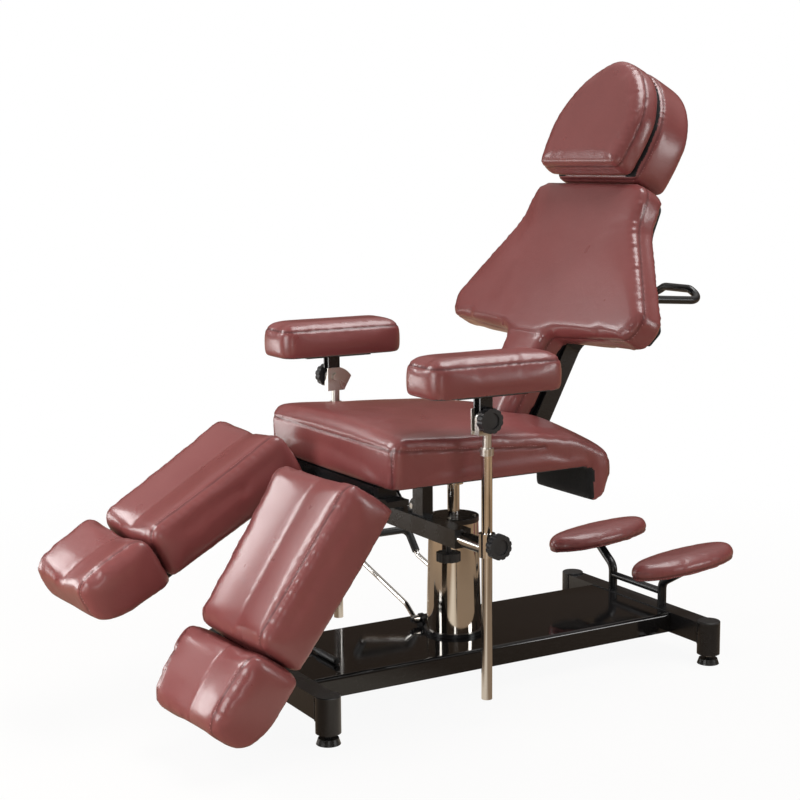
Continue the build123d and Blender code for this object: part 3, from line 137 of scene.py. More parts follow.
# Floor
# A white sweep that fades to the background. Polished parts see it as a tan floor with a pale
# streak before the camera.
floor_half_side = 30.0
fade_start, fade_end = 0.9, 2.2
streak_inner, streak_outer = 0.06, 0.24
glow_near_share = 0.93
floor_bm = bmesh.new()
bmesh.ops.create_grid(floor_bm, x_segments=1, y_segments=1, size=floor_half_side)
floor_mesh = bpy.data.meshes.new("floor")
floor_bm.to_mesh(floor_mesh)
floor_bm.free()
floor = bpy.data.objects.new("floor", floor_mesh)
bpy.context.scene.collection.objects.link(floor)
floor_paint = bpy.data.materials.new("white_sweep")
floor_paint.use_nodes = True
floor_nodes = floor_paint.node_tree
floor_surface = floor_nodes.nodes["Principled BSDF"]
floor_surface.inputs["Base Color"].default_value = (0.66, 0.60, 0.54, 1)
floor_surface.inputs["Roughness"].default_value = 0.9
floor_glow = floor_nodes.nodes.new("ShaderNodeEmission")
floor_glow.inputs["Color"].default_value = (1, 1, 1, 1)
floor_path = floor_nodes.nodes.new("ShaderNodeLightPath")
floor_seen = floor_nodes.nodes.new("ShaderNodeMath")
floor_seen.operation = "MAXIMUM"
floor_place = floor_nodes.nodes.new("ShaderNodeTexCoord")
floor_patch = floor_nodes.nodes.new("ShaderNodeTexNoise")
floor_patch.inputs["Scale"].default_value = 0.42
floor_patch.inputs["Detail"].default_value = 1.0
floor_room = floor_nodes.nodes.new("ShaderNodeValToRGB")
floor_room.color_ramp.elements[0].position = 0.42
floor_room.color_ramp.elements[0].color = (0.13, 0.08, 0.045, 1)
floor_room.color_ramp.elements[1].position = 0.60
floor_room.color_ramp.elements[1].color = (0.62, 0.42, 0.25, 1)
floor_distance = floor_nodes.nodes.new("ShaderNodeVectorMath")
floor_distance.operation = "LENGTH"
floor_edge = floor_nodes.nodes.new("ShaderNodeMapRange")
floor_edge.inputs["From Min"].default_value = fade_start
floor_edge.inputs["From Max"].default_value = fade_end
floor_near = floor_nodes.nodes.new("ShaderNodeMix")
floor_near.data_type = "RGBA"
floor_aside = floor_nodes.nodes.new("ShaderNodeVectorMath")
floor_aside.operation = "DOT_PRODUCT"
floor_aside.inputs[1].default_value = level_right
floor_off = floor_nodes.nodes.new("ShaderNodeMath")
floor_off.operation = "ABSOLUTE"
floor_streak = floor_nodes.nodes.new("ShaderNodeMapRange")
floor_streak.inputs["From Min"].default_value = streak_inner
floor_streak.inputs["From Max"].default_value = streak_outer
floor_tone = floor_nodes.nodes.new("ShaderNodeMix")
floor_tone.data_type = "RGBA"
floor_tone.inputs["A"].default_value = (0.80, 0.70, 0.58, 1)
floor_tone.inputs["B"].default_value = (0.26, 0.18, 0.115, 1)
floor_ray = floor_nodes.nodes.new("ShaderNodeMix")
floor_ray.data_type = "RGBA"
floor_ray.inputs["A"].default_value = (1, 1, 1, 1)
floor_fill = floor_nodes.nodes.new("ShaderNodeMapRange")
floor_fill.inputs["To Min"].default_value = glow_near_share
floor_fill.inputs["To Max"].default_value = 1.0
floor_share = floor_nodes.nodes.new("ShaderNodeMath")
floor_share.operation = "MULTIPLY"
floor_mix = floor_nodes.nodes.new("ShaderNodeMixShader")
wire(floor_nodes, (floor_path.outputs["Is Camera Ray"], floor_seen.inputs[0]),
     (floor_path.outputs["Is Glossy Ray"], floor_seen.inputs[1]),
     (floor_seen.outputs[0], floor_share.inputs[0]),
     (floor_place.outputs["Object"], floor_patch.inputs["Vector"]),
     (floor_place.outputs["Object"], floor_distance.inputs[0]),
     (floor_distance.outputs["Value"], floor_edge.inputs["Value"]),
     (floor_edge.outputs["Result"], floor_fill.inputs["Value"]),
     (floor_fill.outputs["Result"], floor_share.inputs[1]),
     (floor_patch.outputs["Fac"], floor_room.inputs["Fac"]),
     (floor_edge.outputs["Result"], floor_near.inputs["Factor"]),
     (floor_room.outputs["Color"], floor_near.inputs["B"]),
     (floor_place.outputs["Object"], floor_aside.inputs[0]),
     (floor_aside.outputs["Value"], floor_off.inputs[0]),
     (floor_off.outputs[0], floor_streak.inputs["Value"]),
     (floor_streak.outputs["Result"], floor_tone.inputs["Factor"]),
     (floor_tone.outputs["Result"], floor_near.inputs["A"]),
     (floor_path.outputs["Is Glossy Ray"], floor_ray.inputs["Factor"]),
     (floor_near.outputs["Result"], floor_ray.inputs["B"]),
     (floor_ray.outputs["Result"], floor_glow.inputs["Color"]),
     (floor_share.outputs[0], floor_mix.inputs["Fac"]), (floor_surface.outputs[0], floor_mix.inputs[1]),
     (floor_glow.outputs[0], floor_mix.inputs[2]),
     (floor_mix.outputs[0], floor_nodes.nodes["Material Output"].inputs["Surface"]))
floor_mesh.materials.append(floor_paint)

# Base frame
# Round tube posts, rectangular crossbars and a folded steel deck pan, welded up, powder
# coated in black and polished. The deck's coat is the flattest and mirrors the column.


def new_group(name, inputs, outputs):
    """An empty shader group with named number inputs and outputs."""
    group = bpy.data.node_groups.new(name, "ShaderNodeTree")
    for label, value in inputs:
        socket = group.interface.new_socket(label, in_out="INPUT", socket_type="NodeSocketFloat")
        socket.default_value = value
    for label in outputs:
        group.interface.new_socket(label, in_out="OUTPUT", socket_type="NodeSocketFloat")
    return group, group.nodes.new("NodeGroupInput"), group.nodes.new("NodeGroupOutput")


def math_node(tree, operation, first, second=None):
    """A math node fed by sockets or plain numbers."""
    node = tree.nodes.new("ShaderNodeMath")
    node.operation = operation
    for index, value in enumerate((first, second)):
        if value is None:
            continue
        if isinstance(value, (int, float)):
            node.inputs[index].default_value = value
        else:
            tree.links.new(value, node.inputs[index])
    return node.outputs[0]


def noise_node(tree, place, scale, detail=2.0, stretch=None):
    """A noise over a position socket, scaled by a number or a socket."""
    if stretch is not None:
        mapping = tree.nodes.new("ShaderNodeMapping")
        mapping.inputs["Scale"].default_value = stretch
        tree.links.new(place, mapping.inputs["Vector"])
        place = mapping.outputs["Vector"]
    node = tree.nodes.new("ShaderNodeTexNoise")
    tree.links.new(place, node.inputs["Vector"])
    if isinstance(scale, (int, float)):
        node.inputs["Scale"].default_value = scale
    else:
        tree.links.new(scale, node.inputs["Scale"])
    node.inputs["Detail"].default_value = detail
    return node.outputs["Fac"]


def coat_wear():
    """Fine ripple of a sprayed coat, with specks of dust and faint wiping marks."""
    group, given, result = new_group("coat_wear", (("Ripple Scale", 160.0), ("Dust", 0.3)),
                                     ("Ripple", "Dust", "Smear"))
    place = group.nodes.new("ShaderNodeTexCoord").outputs["Object"]
    ripple = noise_node(group, place, given.outputs["Ripple Scale"], 2.0)
    specks = noise_node(group, place, 900.0, 1.0)
    patches = noise_node(group, place, 5.0, 3.0)
    smear = noise_node(group, place, 9.0, 4.0, (1.0, 0.25, 1.0))
    high = math_node(group, "GREATER_THAN", specks, 0.70)
    dust = math_node(group, "MULTIPLY", math_node(group, "MULTIPLY", high, patches), given.outputs["Dust"])
    wire(group, (ripple, result.inputs["Ripple"]), (dust, result.inputs["Dust"]),
         (smear, result.inputs["Smear"]))
    return group


wear_group = coat_wear()


def shader(name):
    """A new material, its tree and its surface shader."""
    material = bpy.data.materials.new(name)
    material.use_nodes = True
    return material, material.node_tree, material.node_tree.nodes["Principled BSDF"]


def use_group(tree, group, **values):
    """A group node with its inputs set."""
    node = tree.nodes.new("ShaderNodeGroup")
    node.node_tree = group
    for label, value in values.items():
        node.inputs[label.replace("_", " ")].default_value = value
    return node


def blend_colour(tree, factor, first, second):
    """Two colours mixed by a number socket."""
    mix = tree.nodes.new("ShaderNodeMix")
    mix.data_type = "RGBA"
    mix.inputs["A"].default_value = (*first, 1)
    mix.inputs["B"].default_value = (*second, 1)
    tree.links.new(factor, mix.inputs["Factor"])
    return mix.outputs["Result"]


def spread(tree, value, low, high):
    """A number socket stretched from 0..1 to a range."""
    node = tree.nodes.new("ShaderNodeMapRange")
    node.inputs["From Min"].default_value = 0.3
    node.inputs["From Max"].default_value = 0.7
    node.inputs["To Min"].default_value = low
    node.inputs["To Max"].default_value = high
    tree.links.new(value, node.inputs["Value"])
    return node.outputs["Result"]


def add_bump(tree, surface, height, distance, strength=1.0):
    """A bump of a height socket on a surface shader."""
    bump = tree.nodes.new("ShaderNodeBump")
    bump.inputs["Distance"].default_value = distance
    bump.inputs["Strength"].default_value = strength
    wire(tree, (height, bump.inputs["Height"]), (bump.outputs["Normal"], surface.inputs["Normal"]))


def gloss_paint(name, colour, rough_low, rough_high, ripple_scale, ripple, dust):
    """Black powder coat with its ripple, dust and wiping marks."""
    material, tree, surface = shader(name)
    wear = use_group(tree, wear_group, Ripple_Scale=ripple_scale, Dust=dust)
    grey = tuple(min(1.0, channel + 0.16) for channel in colour)
    wire(tree, (blend_colour(tree, wear.outputs["Dust"], colour, grey), surface.inputs["Base Color"]),
         (spread(tree, wear.outputs["Smear"], rough_low, rough_high), surface.inputs["Roughness"]))
    add_bump(tree, surface, wear.outputs["Ripple"], ripple)
    return material


def finish_nodes(material, *names):
    """Gives CAD nodes a material, with smooth shading left as it came."""
    for name in names:
        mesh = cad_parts[name].data
        mesh.materials.clear()
        mesh.materials.append(material)


frame_paint = gloss_paint("black_powder_coat", (0.010, 0.010, 0.011), 0.20, 0.34, 220.0, 0.00018, 0.25)
deck_paint = gloss_paint("deck_enamel", (0.008, 0.0075, 0.0078), 0.045, 0.12, 40.0, 0.00005, 0.45)
finish_nodes(frame_paint, "corner_posts", "crossbars", "rest_frame", "pedal_lugs", "pump_flange",
             "pump_cylinder", "pump_cap", "swivel_hub", "seat_frame", "arm_beam", "beam_hangers",
             "back_frame", "head_bracket",
             "near_leg_bracket", "far_leg_bracket", "near_leg_frame", "far_leg_frame", "near_foot_slide",
             "far_foot_slide", "near_pad_bracket", "far_pad_bracket")
finish_nodes(deck_paint, "base_deck")

# Weld beads of the base
# Where each crossbar meets a corner post the welder ran a bead down both corners, and the
# coat covers it: a low rippled string of metal.
bead_radius = 0.0022
bead_top_gap = 0.002


def bead_run(mesh_bm, start, end, pitch=0.0035):
    """A row of overlapping flattened drops between two points."""
    start, end = Vector(start), Vector(end)
    steps = max(1, round((end - start).length / pitch))
    for index in range(steps + 1):
        place = Matrix.Translation(start.lerp(end, index / steps))
        bmesh.ops.create_icosphere(mesh_bm, subdivisions=1, radius=bead_radius, matrix=place)


def piece_from(mesh_bm, name, body, slot, *materials, smooth=True):
    """Turns a bmesh into a piece that rides on a body."""
    mesh = bpy.data.meshes.new(name)
    mesh_bm.to_mesh(mesh)
    mesh_bm.free()
    for material in materials:
        mesh.materials.append(material)
    mesh.polygons.foreach_set("use_smooth", [smooth] * len(mesh.polygons))
    piece = bpy.data.objects.new(name, mesh)
    bpy.context.scene.collection.objects.link(piece)
    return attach(piece, body)


weld_bm = bmesh.new()
post_x, post_y, post_round = 0.250, 0.471, 0.025
bar_half, bar_low, bar_top = 0.022, 0.046, 0.092
seam_x = post_x - math.sqrt(post_round ** 2 - bar_half ** 2)
for end_y in (-post_y + shift_y, post_y + shift_y):
    for side in (-1, 1):
        for offset in (-bar_half, bar_half):
            corner_x, corner_y = side * seam_x, end_y + offset
            bead_run(weld_bm, (corner_x, corner_y, bar_low), (corner_x, corner_y, bar_top - bead_top_gap))
piece_from(weld_bm, "weld_beads", "base", "black_paint", frame_paint)

# Caps and levelling feet
# Moulded plugs close the posts. Each foot is a steel stud with a lock nut, and its round
# foot plate is black below and bare zinc plate above.


def moulded_plastic(name, colour, rough, grain_scale, grain):
    """Moulded black plastic with a fine spark-eroded grain."""
    material, tree, surface = shader(name)
    place = tree.nodes.new("ShaderNodeTexCoord").outputs["Object"]
    fine = noise_node(tree, place, grain_scale, 2.0)
    broad = noise_node(tree, place, 14.0, 3.0)
    pale = tuple(channel * 1.8 + 0.004 for channel in colour)
    wire(tree, (blend_colour(tree, broad, colour, pale), surface.inputs["Base Color"]),
         (spread(tree, broad, rough - 0.05, rough + 0.08), surface.inputs["Roughness"]))
    add_bump(tree, surface, fine, grain)
    return material


def zinc_plate(name, black_below):
    """Zinc plated steel with drawn lines and a yellowish passivation, black under a height."""
    material, tree, surface = shader(name)
    place = tree.nodes.new("ShaderNodeTexCoord").outputs["Object"]
    stain = noise_node(tree, place, 22.0, 4.0)
    lines = noise_node(tree, place, 260.0, 2.0, (1.0, 1.0, 0.08))
    colour = blend_colour(tree, stain, (0.52, 0.50, 0.45), (0.70, 0.69, 0.66))
    split = tree.nodes.new("ShaderNodeSeparateXYZ")
    wire(tree, (place, split.inputs[0]))
    above = math_node(tree, "GREATER_THAN", split.outputs["Z"], black_below)
    mix = tree.nodes.new("ShaderNodeMix")
    mix.data_type = "RGBA"
    mix.inputs["A"].default_value = (0.012, 0.012, 0.012, 1)
    wire(tree, (above, mix.inputs["Factor"]), (colour, mix.inputs["B"]),
         (mix.outputs["Result"], surface.inputs["Base Color"]),
         (above, surface.inputs["Metallic"]), (spread(tree, stain, 0.26, 0.42), surface.inputs["Roughness"]))
    add_bump(tree, surface, lines, 0.00008)
    return material


cap_plastic = moulded_plastic("cap_plastic", (0.012, 0.012, 0.0125), 0.36, 1400.0, 0.00006)
foot_zinc = zinc_plate("foot_zinc", 0.0165)
bolt_zinc = zinc_plate("bolt_zinc", -1.0)
finish_nodes(cap_plastic, "post_caps")
finish_nodes(foot_zinc, "levelling_feet")
finish_nodes(bolt_zinc, "base_bolts", "frame_bolts", "hinge_pin", "near_arm_stem", "far_arm_stem")

# Chromed parts
# The pump's tapering cover is polished sheet, and the ram, posts, slide tubes and rods are
# ground and chromed bar or tube, with faint turning lines and finger marks.


def chrome_plate(name, tint, rough_low, rough_high, lines_scale):
    """Chrome over ground steel."""
    material, tree, surface = shader(name)
    place = tree.nodes.new("ShaderNodeTexCoord").outputs["Object"]
    marks = noise_node(tree, place, 16.0, 4.0)
    lines = noise_node(tree, place, lines_scale, 2.0, (0.12, 0.12, 1.0))
    dull = tuple(channel * 0.86 for channel in tint)
    surface.inputs["Metallic"].default_value = 1.0
    wire(tree, (blend_colour(tree, marks, dull, tint), surface.inputs["Base Color"]),
         (spread(tree, marks, rough_low, rough_high), surface.inputs["Roughness"]))
    add_bump(tree, surface, lines, 0.00002)
    return material


post_chrome = chrome_plate("post_chrome", (0.74, 0.72, 0.69), 0.10, 0.20, 420.0)
cover_chrome = chrome_plate("cover_polish", (0.80, 0.76, 0.70), 0.05, 0.11, 300.0)
finish_nodes(post_chrome, "lift_ram", "pedal_bail", "headrest_rods", "near_arm_tube", "far_arm_tube",
             "near_arm_post", "far_arm_post")
finish_nodes(cover_chrome, "pump_cover")

# Pedal sleeve, deck lever and push handle
# The sleeve is ribbed rubber hose pushed over the pedal. The lever's grip is dipped in the
# same rubber, and the push handle is painted tube.


def black_rubber(name, colour, rough):
    """Matt rubber with a faint bloom and a fine skin."""
    material, tree, surface = shader(name)
    place = tree.nodes.new("ShaderNodeTexCoord").outputs["Object"]
    bloom = noise_node(tree, place, 30.0, 4.0)
    skin = noise_node(tree, place, 700.0, 2.0)
    pale = tuple(channel * 2.4 + 0.006 for channel in colour)
    wire(tree, (blend_colour(tree, bloom, colour, pale), surface.inputs["Base Color"]),
         (spread(tree, bloom, rough - 0.08, rough + 0.1), surface.inputs["Roughness"]))
    add_bump(tree, surface, skin, 0.0001)
    return material


hose_rubber = black_rubber("hose_rubber", (0.011, 0.011, 0.011), 0.52)
handle_paint = gloss_paint("handle_coat", (0.009, 0.009, 0.010), 0.24, 0.36, 300.0, 0.00022, 0.2)
finish_nodes(hose_rubber, "pedal_sleeve", "deck_lever")
finish_nodes(handle_paint, "back_handle")

# Hand knobs
# Six round grips moulded in nylon, with twelve shallow flutes and a dished face, for the
# beam, the sleeves and the tilt bolts.
knob_nylon = moulded_plastic("knob_nylon", (0.014, 0.0145, 0.016), 0.42, 1800.0, 0.00008)
finish_nodes(knob_nylon, "near_width_knob", "far_width_knob", "near_height_knob", "far_height_knob",
             "near_tilt_knob", "far_tilt_knob")

# Boards
# Plywood panels carry the cushions. Their backs are covered in black lining, stapled on, so
# only a dark coarse weave shows.


def black_lining(name):
    """Spun lining cloth, drawn over the boards and dark as soot."""
    material, tree, surface = shader(name)
    place = tree.nodes.new("ShaderNodeTexCoord").outputs["Object"]
    weave = noise_node(tree, place, 480.0, 2.0, (1.0, 1.0, 0.3))
    sag = noise_node(tree, place, 11.0, 3.0)
    surface.inputs["Specular IOR Level"].default_value = 0.2
    surface.inputs["Sheen Weight"].default_value = 0.15
    soot, ash = (0.008, 0.008, 0.0085), (0.026, 0.026, 0.027)
    wire(tree, (blend_colour(tree, weave, soot, ash), surface.inputs["Base Color"]),
         (spread(tree, sag, 0.8, 0.95), surface.inputs["Roughness"]))
    add_bump(tree, surface, weave, 0.0003)
    return material


lining = black_lining("black_lining")
finish_nodes(lining, "seat_board", "back_board", "head_board")

# Artificial leather
# Burgundy coated cloth, glossy, with a fine pebbled grain, shallow creases where it is drawn
# in, and puckers at each stitched seam, whose groove painted shade darkens into a darker line.
burgundy = (0.185, 0.044, 0.042)
# The deep colour below is painted shade, which each seam's groove darkens towards.
burgundy_seam_shade = (0.090, 0.018, 0.019)
burgundy_worn = (0.225, 0.060, 0.058)


def leather_grain():
    """Pebbled grain, drawn creases and cloudy dye of coated cloth, deeper near a seam."""
    settings = (("Pebble Scale", 620.0), ("Crease", 0.5), ("Seam", 0.0))
    group, given, result = new_group("leather_grain", settings, ("Height", "Cloud", "Gloss"))
    place = group.nodes.new("ShaderNodeTexCoord").outputs["Object"]
    pebble = group.nodes.new("ShaderNodeTexVoronoi")
    pebble.feature = "DISTANCE_TO_EDGE"
    wire(group, (place, pebble.inputs["Vector"]), (given.outputs["Pebble Scale"], pebble.inputs["Scale"]))
    cells = math_node(group, "MINIMUM", pebble.outputs["Distance"], 0.22)
    crease = noise_node(group, place, 34.0, 5.0)
    ridge = math_node(group, "ABSOLUTE", math_node(group, "SUBTRACT", crease, 0.5))
    folds = math_node(group, "MULTIPLY", math_node(group, "MINIMUM", ridge, 0.06), given.outputs["Crease"])
    pucker = noise_node(group, place, 150.0, 2.0)
    tuck = math_node(group, "MULTIPLY", pucker, math_node(group, "MULTIPLY", given.outputs["Seam"], 1.4))
    height = math_node(group, "ADD", math_node(group, "MULTIPLY", cells, 0.5),
                       math_node(group, "ADD", math_node(group, "MULTIPLY", folds, 9.0), tuck))
    cloud = noise_node(group, place, 4.5, 4.0)
    gloss = noise_node(group, place, 12.0, 4.0)
    wire(group, (height, result.inputs["Height"]), (cloud, result.inputs["Cloud"]),
         (gloss, result.inputs["Gloss"]))
    return group


grain_group = leather_grain()


def coated_leather(name, crease, rough_low, rough_high):
    """The burgundy cover, with the puckers and the painted shade of its seam grooves read from the piece's
    own seam attribute.
    """
    material, tree, surface = shader(name)
    grain = use_group(tree, grain_group, Pebble_Scale=620.0, Crease=crease)
    seam_shade = tree.nodes.new("ShaderNodeAttribute")
    seam_shade.attribute_name = "seam_shade"
    colour = blend_colour(tree, spread(tree, grain.outputs["Cloud"], 0.0, 1.0), burgundy, burgundy_worn)
    # Painted shade: the seam attribute darkens the cover towards the deep burgundy along each seam's groove.
    shade = tree.nodes.new("ShaderNodeMix")
    shade.data_type = "RGBA"
    shade.inputs["B"].default_value = (*burgundy_seam_shade, 1)
    surface.inputs["Coat Weight"].default_value = 0.30
    surface.inputs["Coat Roughness"].default_value = 0.16
    wire(tree, (seam_shade.outputs["Fac"], grain.inputs["Seam"]), (seam_shade.outputs["Fac"], shade.inputs["Factor"]),
         (colour, shade.inputs["A"]), (shade.outputs["Result"], surface.inputs["Base Color"]),
         (spread(tree, grain.outputs["Gloss"], rough_low, rough_high), surface.inputs["Roughness"]))
    add_bump(tree, surface, grain.outputs["Height"], 0.0006, 0.7)
    return material


leather = coated_leather("burgundy_leather", 0.3, 0.27, 0.38)

# Sewing thread
# Bonded polyester in the leather's own colour, a shade lighter, so it catches the light.


def sewing_thread():
    """A twisted thread."""
    material, tree, surface = shader("sewing_thread")
    place = tree.nodes.new("ShaderNodeTexCoord").outputs["Object"]
    twist = noise_node(tree, place, 1500.0, 1.0)
    strand, ply = (0.34, 0.13, 0.13), (0.58, 0.30, 0.29)
    wire(tree, (blend_colour(tree, twist, strand, ply), surface.inputs["Base Color"]))
    surface.inputs["Roughness"].default_value = 0.55
    add_bump(tree, surface, twist, 0.0001)
    return material


thread = sewing_thread()


def remeshed(name, source, voxel):
    """A closed, even mesh over a CAD cushion."""
    mesh_bm = bmesh.new()
    mesh_bm.from_mesh(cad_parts[source].data)
    bmesh.ops.remove_doubles(mesh_bm, verts=mesh_bm.verts, dist=0.00002)
    bmesh.ops.recalc_face_normals(mesh_bm, faces=mesh_bm.faces)
    mesh = bpy.data.meshes.new(name)
    mesh_bm.to_mesh(mesh)
    mesh_bm.free()
    piece = bpy.data.objects.new(name, mesh)
    bpy.context.scene.collection.objects.link(piece)
    modifier = piece.modifiers.new("even", "REMESH")
    modifier.mode = "VOXEL"
    modifier.voxel_size = voxel
    apply_modifiers(piece)
    return piece


def apply_modifiers(piece):
    """Replaces a piece's mesh with what its modifiers make of it."""
    graph = bpy.context.evaluated_depsgraph_get()
    graph.update()
    mesh = bpy.data.meshes.new_from_object(piece.evaluated_get(graph))
    piece.modifiers.clear()
    piece.data = mesh


def relax(piece, rounds, factor=0.5):
    """Smooths a mesh a few times, which rounds its edges."""
    mesh_bm = bmesh.new()
    mesh_bm.from_mesh(piece.data)
    for _ in range(rounds):
        bmesh.ops.smooth_vert(mesh_bm, verts=mesh_bm.verts, factor=factor,
                              use_axis_x=True, use_axis_y=True, use_axis_z=True)
    mesh_bm.to_mesh(piece.data)
    mesh_bm.free()


cloth_steps = 20
free_facing, held_facing = 0.6, 0.85
lined_facing = 0.82


def facing(vertex, directions):
    """How far a vertex faces one of some directions, from 0 to 1."""
    best = max((vertex.normal.dot(direction) for direction in directions), default=-1)
    return min(1.0, max(0.0, (best - free_facing) / (held_facing - free_facing)))


def swell(piece, held, limit, pressure):
    """Inflates a cushion as stuffed cloth, held on the faces that lie on something."""
    rest = [vertex.co.copy() for vertex in piece.data.vertices]
    hold = [facing(vertex, held) for vertex in piece.data.vertices]
    group = piece.vertex_groups.new(name="held")
    for index, share in enumerate(hold):
        if share > 0:
            group.add([index], share, "REPLACE")
    modifier = piece.modifiers.new("stuffing", "CLOTH")
    settings = modifier.settings
    settings.effector_weights.gravity = 0
    settings.use_pressure = True
    settings.uniform_pressure_force = pressure
    settings.quality = 4
    settings.vertex_group_mass = "held"
    modifier.point_cache.frame_start = 1
    modifier.point_cache.frame_end = cloth_steps
    for step in range(1, cloth_steps + 1):
        bpy.context.scene.frame_set(step)
    apply_modifiers(piece)
    bpy.context.scene.frame_set(1)
    for vertex, start, share in zip(piece.data.vertices, rest, hold):
        move = vertex.co - start
        if move.length > limit:
            move = move.normalized() * limit
        vertex.co = start + move * (1 - share)


def filled_out(piece, held, reach):
    """Moves a cushion's free faces outward by a reach, where smoothing has drawn them in."""
    moves = [vertex.normal * reach * (1 - facing(vertex, held)) for vertex in piece.data.vertices]
    for vertex, move in zip(piece.data.vertices, moves):
        vertex.co += move


def puffed(name, source, body, voxel=0.007, held=(), limit=0.0035, reach=0.005, pressure=4.0, rounds=3,
           in_hollow=lambda face: False):
    """A stuffed cushion over a CAD cushion, with black lining where it lies on something."""
    piece = remeshed(name, source, voxel)
    faces_held = [Vector(direction) for direction in held]
    relax(piece, rounds)
    swell(piece, faces_held, limit, pressure)
    filled_out(piece, faces_held, reach)
    relax(piece, 2)
    modifier = piece.modifiers.new("smooth", "SUBSURF")
    modifier.levels = 1
    modifier.render_levels = 1
    apply_modifiers(piece)
    piece.data.materials.clear()
    piece.data.materials.append(leather)
    piece.data.materials.append(lining)
    for face in piece.data.polygons:
        if any(face.normal.dot(direction) > lined_facing for direction in faces_held) or in_hollow(face):
            face.material_index = 1
    piece.data.polygons.foreach_set("use_smooth", [True] * len(piece.data.polygons))
    piece.data.attributes.new("seam_shade", "FLOAT", "POINT")
    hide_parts(source)
    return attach(piece, body)


pucker_scale = 95.0
pucker_spread = 4
# The painted shade of a seam groove: how strong it is and how far beside the seam it reaches.
shade_gain, shade_spread = 1.15, 0.75


def groove(piece, point, normal, keep, width=0.0045, depth=0.0014, pucker=0.0007):
    """Draws a seam into a cushion where a plane cuts it, with puckers beside it, and stores how much painted
    shade darkens its groove.
    """
    point, normal = Vector(point), Vector(normal).normalized()
    seam_shade = piece.data.attributes["seam_shade"].data
    outward = [vertex.normal.copy() for vertex in piece.data.vertices]
    for index, vertex in enumerate(piece.data.vertices):
        distance = abs((vertex.co - point).dot(normal))
        if distance > width * pucker_spread or not keep(vertex.co):
            continue
        near = max(0.0, 1 - (distance / width) ** 2)
        wide = max(0.0, 1 - distance / (width * pucker_spread))
        ripple = noise.noise(vertex.co * pucker_scale) * pucker * wide
        vertex.co += outward[index] * (ripple - depth * near * near)
        # Painted shade, strongest in the middle of the groove, kept in the seam attribute for the cover's
        # colour.
        shade = min(1.0, shade_gain * max(0.0, 1 - distance / (width * shade_spread)))
        seam_shade[index].value = max(seam_shade[index].value, shade)


shortest_run = 6


def cut_line(piece, point, normal, keep):
    """The points and surface directions where a plane cuts a cushion, in order, as runs."""
    mesh_bm = bmesh.new()
    mesh_bm.from_mesh(piece.data)
    everything = mesh_bm.verts[:] + mesh_bm.edges[:] + mesh_bm.faces[:]
    cut = bmesh.ops.bisect_plane(mesh_bm, geom=everything, plane_co=point, plane_no=normal)["geom_cut"]
    edges = [item for item in cut if isinstance(item, bmesh.types.BMEdge)]
    edges = {edge for edge in edges if keep(edge.verts[0].co) and keep(edge.verts[1].co)}
    mesh_bm.normal_update()
    joined = {}
    for edge in edges:
        for vertex in edge.verts:
            joined.setdefault(vertex, []).append(edge)
    ends = sorted((v for v in joined if len(joined[v]) == 1), key=lambda v: v.index)
    starts = ends + sorted((v for v in joined if len(joined[v]) > 1), key=lambda v: v.index)
    runs = []
    left = set(edges)
    for start in starts:
        vertex, run = start, [(start.co.copy(), start.normal.copy())]
        while True:
            step = next((edge for edge in joined[vertex] if edge in left), None)
            if step is None:
                break
            left.discard(step)
            vertex = step.other_vert(vertex)
            run.append((vertex.co.copy(), vertex.normal.copy()))
        if len(run) > shortest_run:
            runs.append(run)
    mesh_bm.free()
    return runs


stitch_bm = bmesh.new()
bmesh.ops.create_icosphere(stitch_bm, subdivisions=1, radius=1.0)
one_stitch = bpy.data.meshes.new("one_stitch")
stitch_bm.to_mesh(one_stitch)
stitch_bm.free()


def stitches(mesh_bm, run, aside, pitch=0.0062, length=0.0021, thick=0.00065):
    """Lays short stitches along a run, set to one side of it."""
    travelled = 0.0
    target = pitch
    for (first, out), (second, _) in zip(run, run[1:]):
        step = (second - first).length
        while step > 1e-9 and travelled + step >= target:
            along = (second - first).normalized()
            across = out.cross(along).normalized()
            place = first.lerp(second, (target - travelled) / step) + across * aside + out * (thick * 0.3)
            turn = Matrix((along, across, out)).transposed().to_4x4()
            size = Matrix.Diagonal((length, thick, thick, 1))
            laid = one_stitch.copy()
            laid.transform(Matrix.Translation(place) @ turn @ size)
            mesh_bm.from_mesh(laid, face_normals=False, vertex_normals=False)
            bpy.data.meshes.remove(laid)
            target += pitch
        travelled += step


def sewn(piece, body, name, lines, aside=0.0034, **sizes):
    """Draws seams into a cushion and lays a row of stitches beside each."""
    mesh_bm = bmesh.new()
    for point, normal, keep in lines:
        groove(piece, point, normal, keep, **sizes)
        for run in cut_line(piece, point, normal, keep):
            stitches(mesh_bm, run, aside)
    piece_from(mesh_bm, name, body, "leather", thread)


down = (0, 0, -1)

# Seat
# A moulded foam block glued on its board, under a cover with sewn corners. Its top crowns,
# falls towards the back hinge, and its rear rolls down into two hanging flaps.
seat_low_z, seat_front_y, seat_half_x = 0.474, -0.331 + shift_y, 0.268
seat_seam_z, seat_fall, seat_fall_run = 0.553, 0.017, 0.252
seam_above_base, seam_zone_x, seam_zone_y, seam_rear_y = 0.03, 0.2, 0.06, 0.02 + shift_y
corner_inset, corner_seam_base, corner_seam_gap, corner_zone_y = 0.012, 0.004, 0.001, 0.05
flap_y, flap_low_z, flap_x = 0.176 + shift_y, 0.42, 0.264
hollow_y, hollow_z, hollow_facing = 0.07 + shift_y, 0.48, -0.5


def behind_seat(face):
    """Whether a face of the seat looks forward into the hollow under its rear."""
    return face.normal.y < hollow_facing and face.center.y > hollow_y and face.center.z < hollow_z


seat = puffed("seat_pad", "seat_cushion", "seat", held=(down,), limit=0.003, pressure=4.5, rounds=3,
              in_hollow=behind_seat)
seat_top_slope = math.atan2(seat_fall, seat_fall_run)


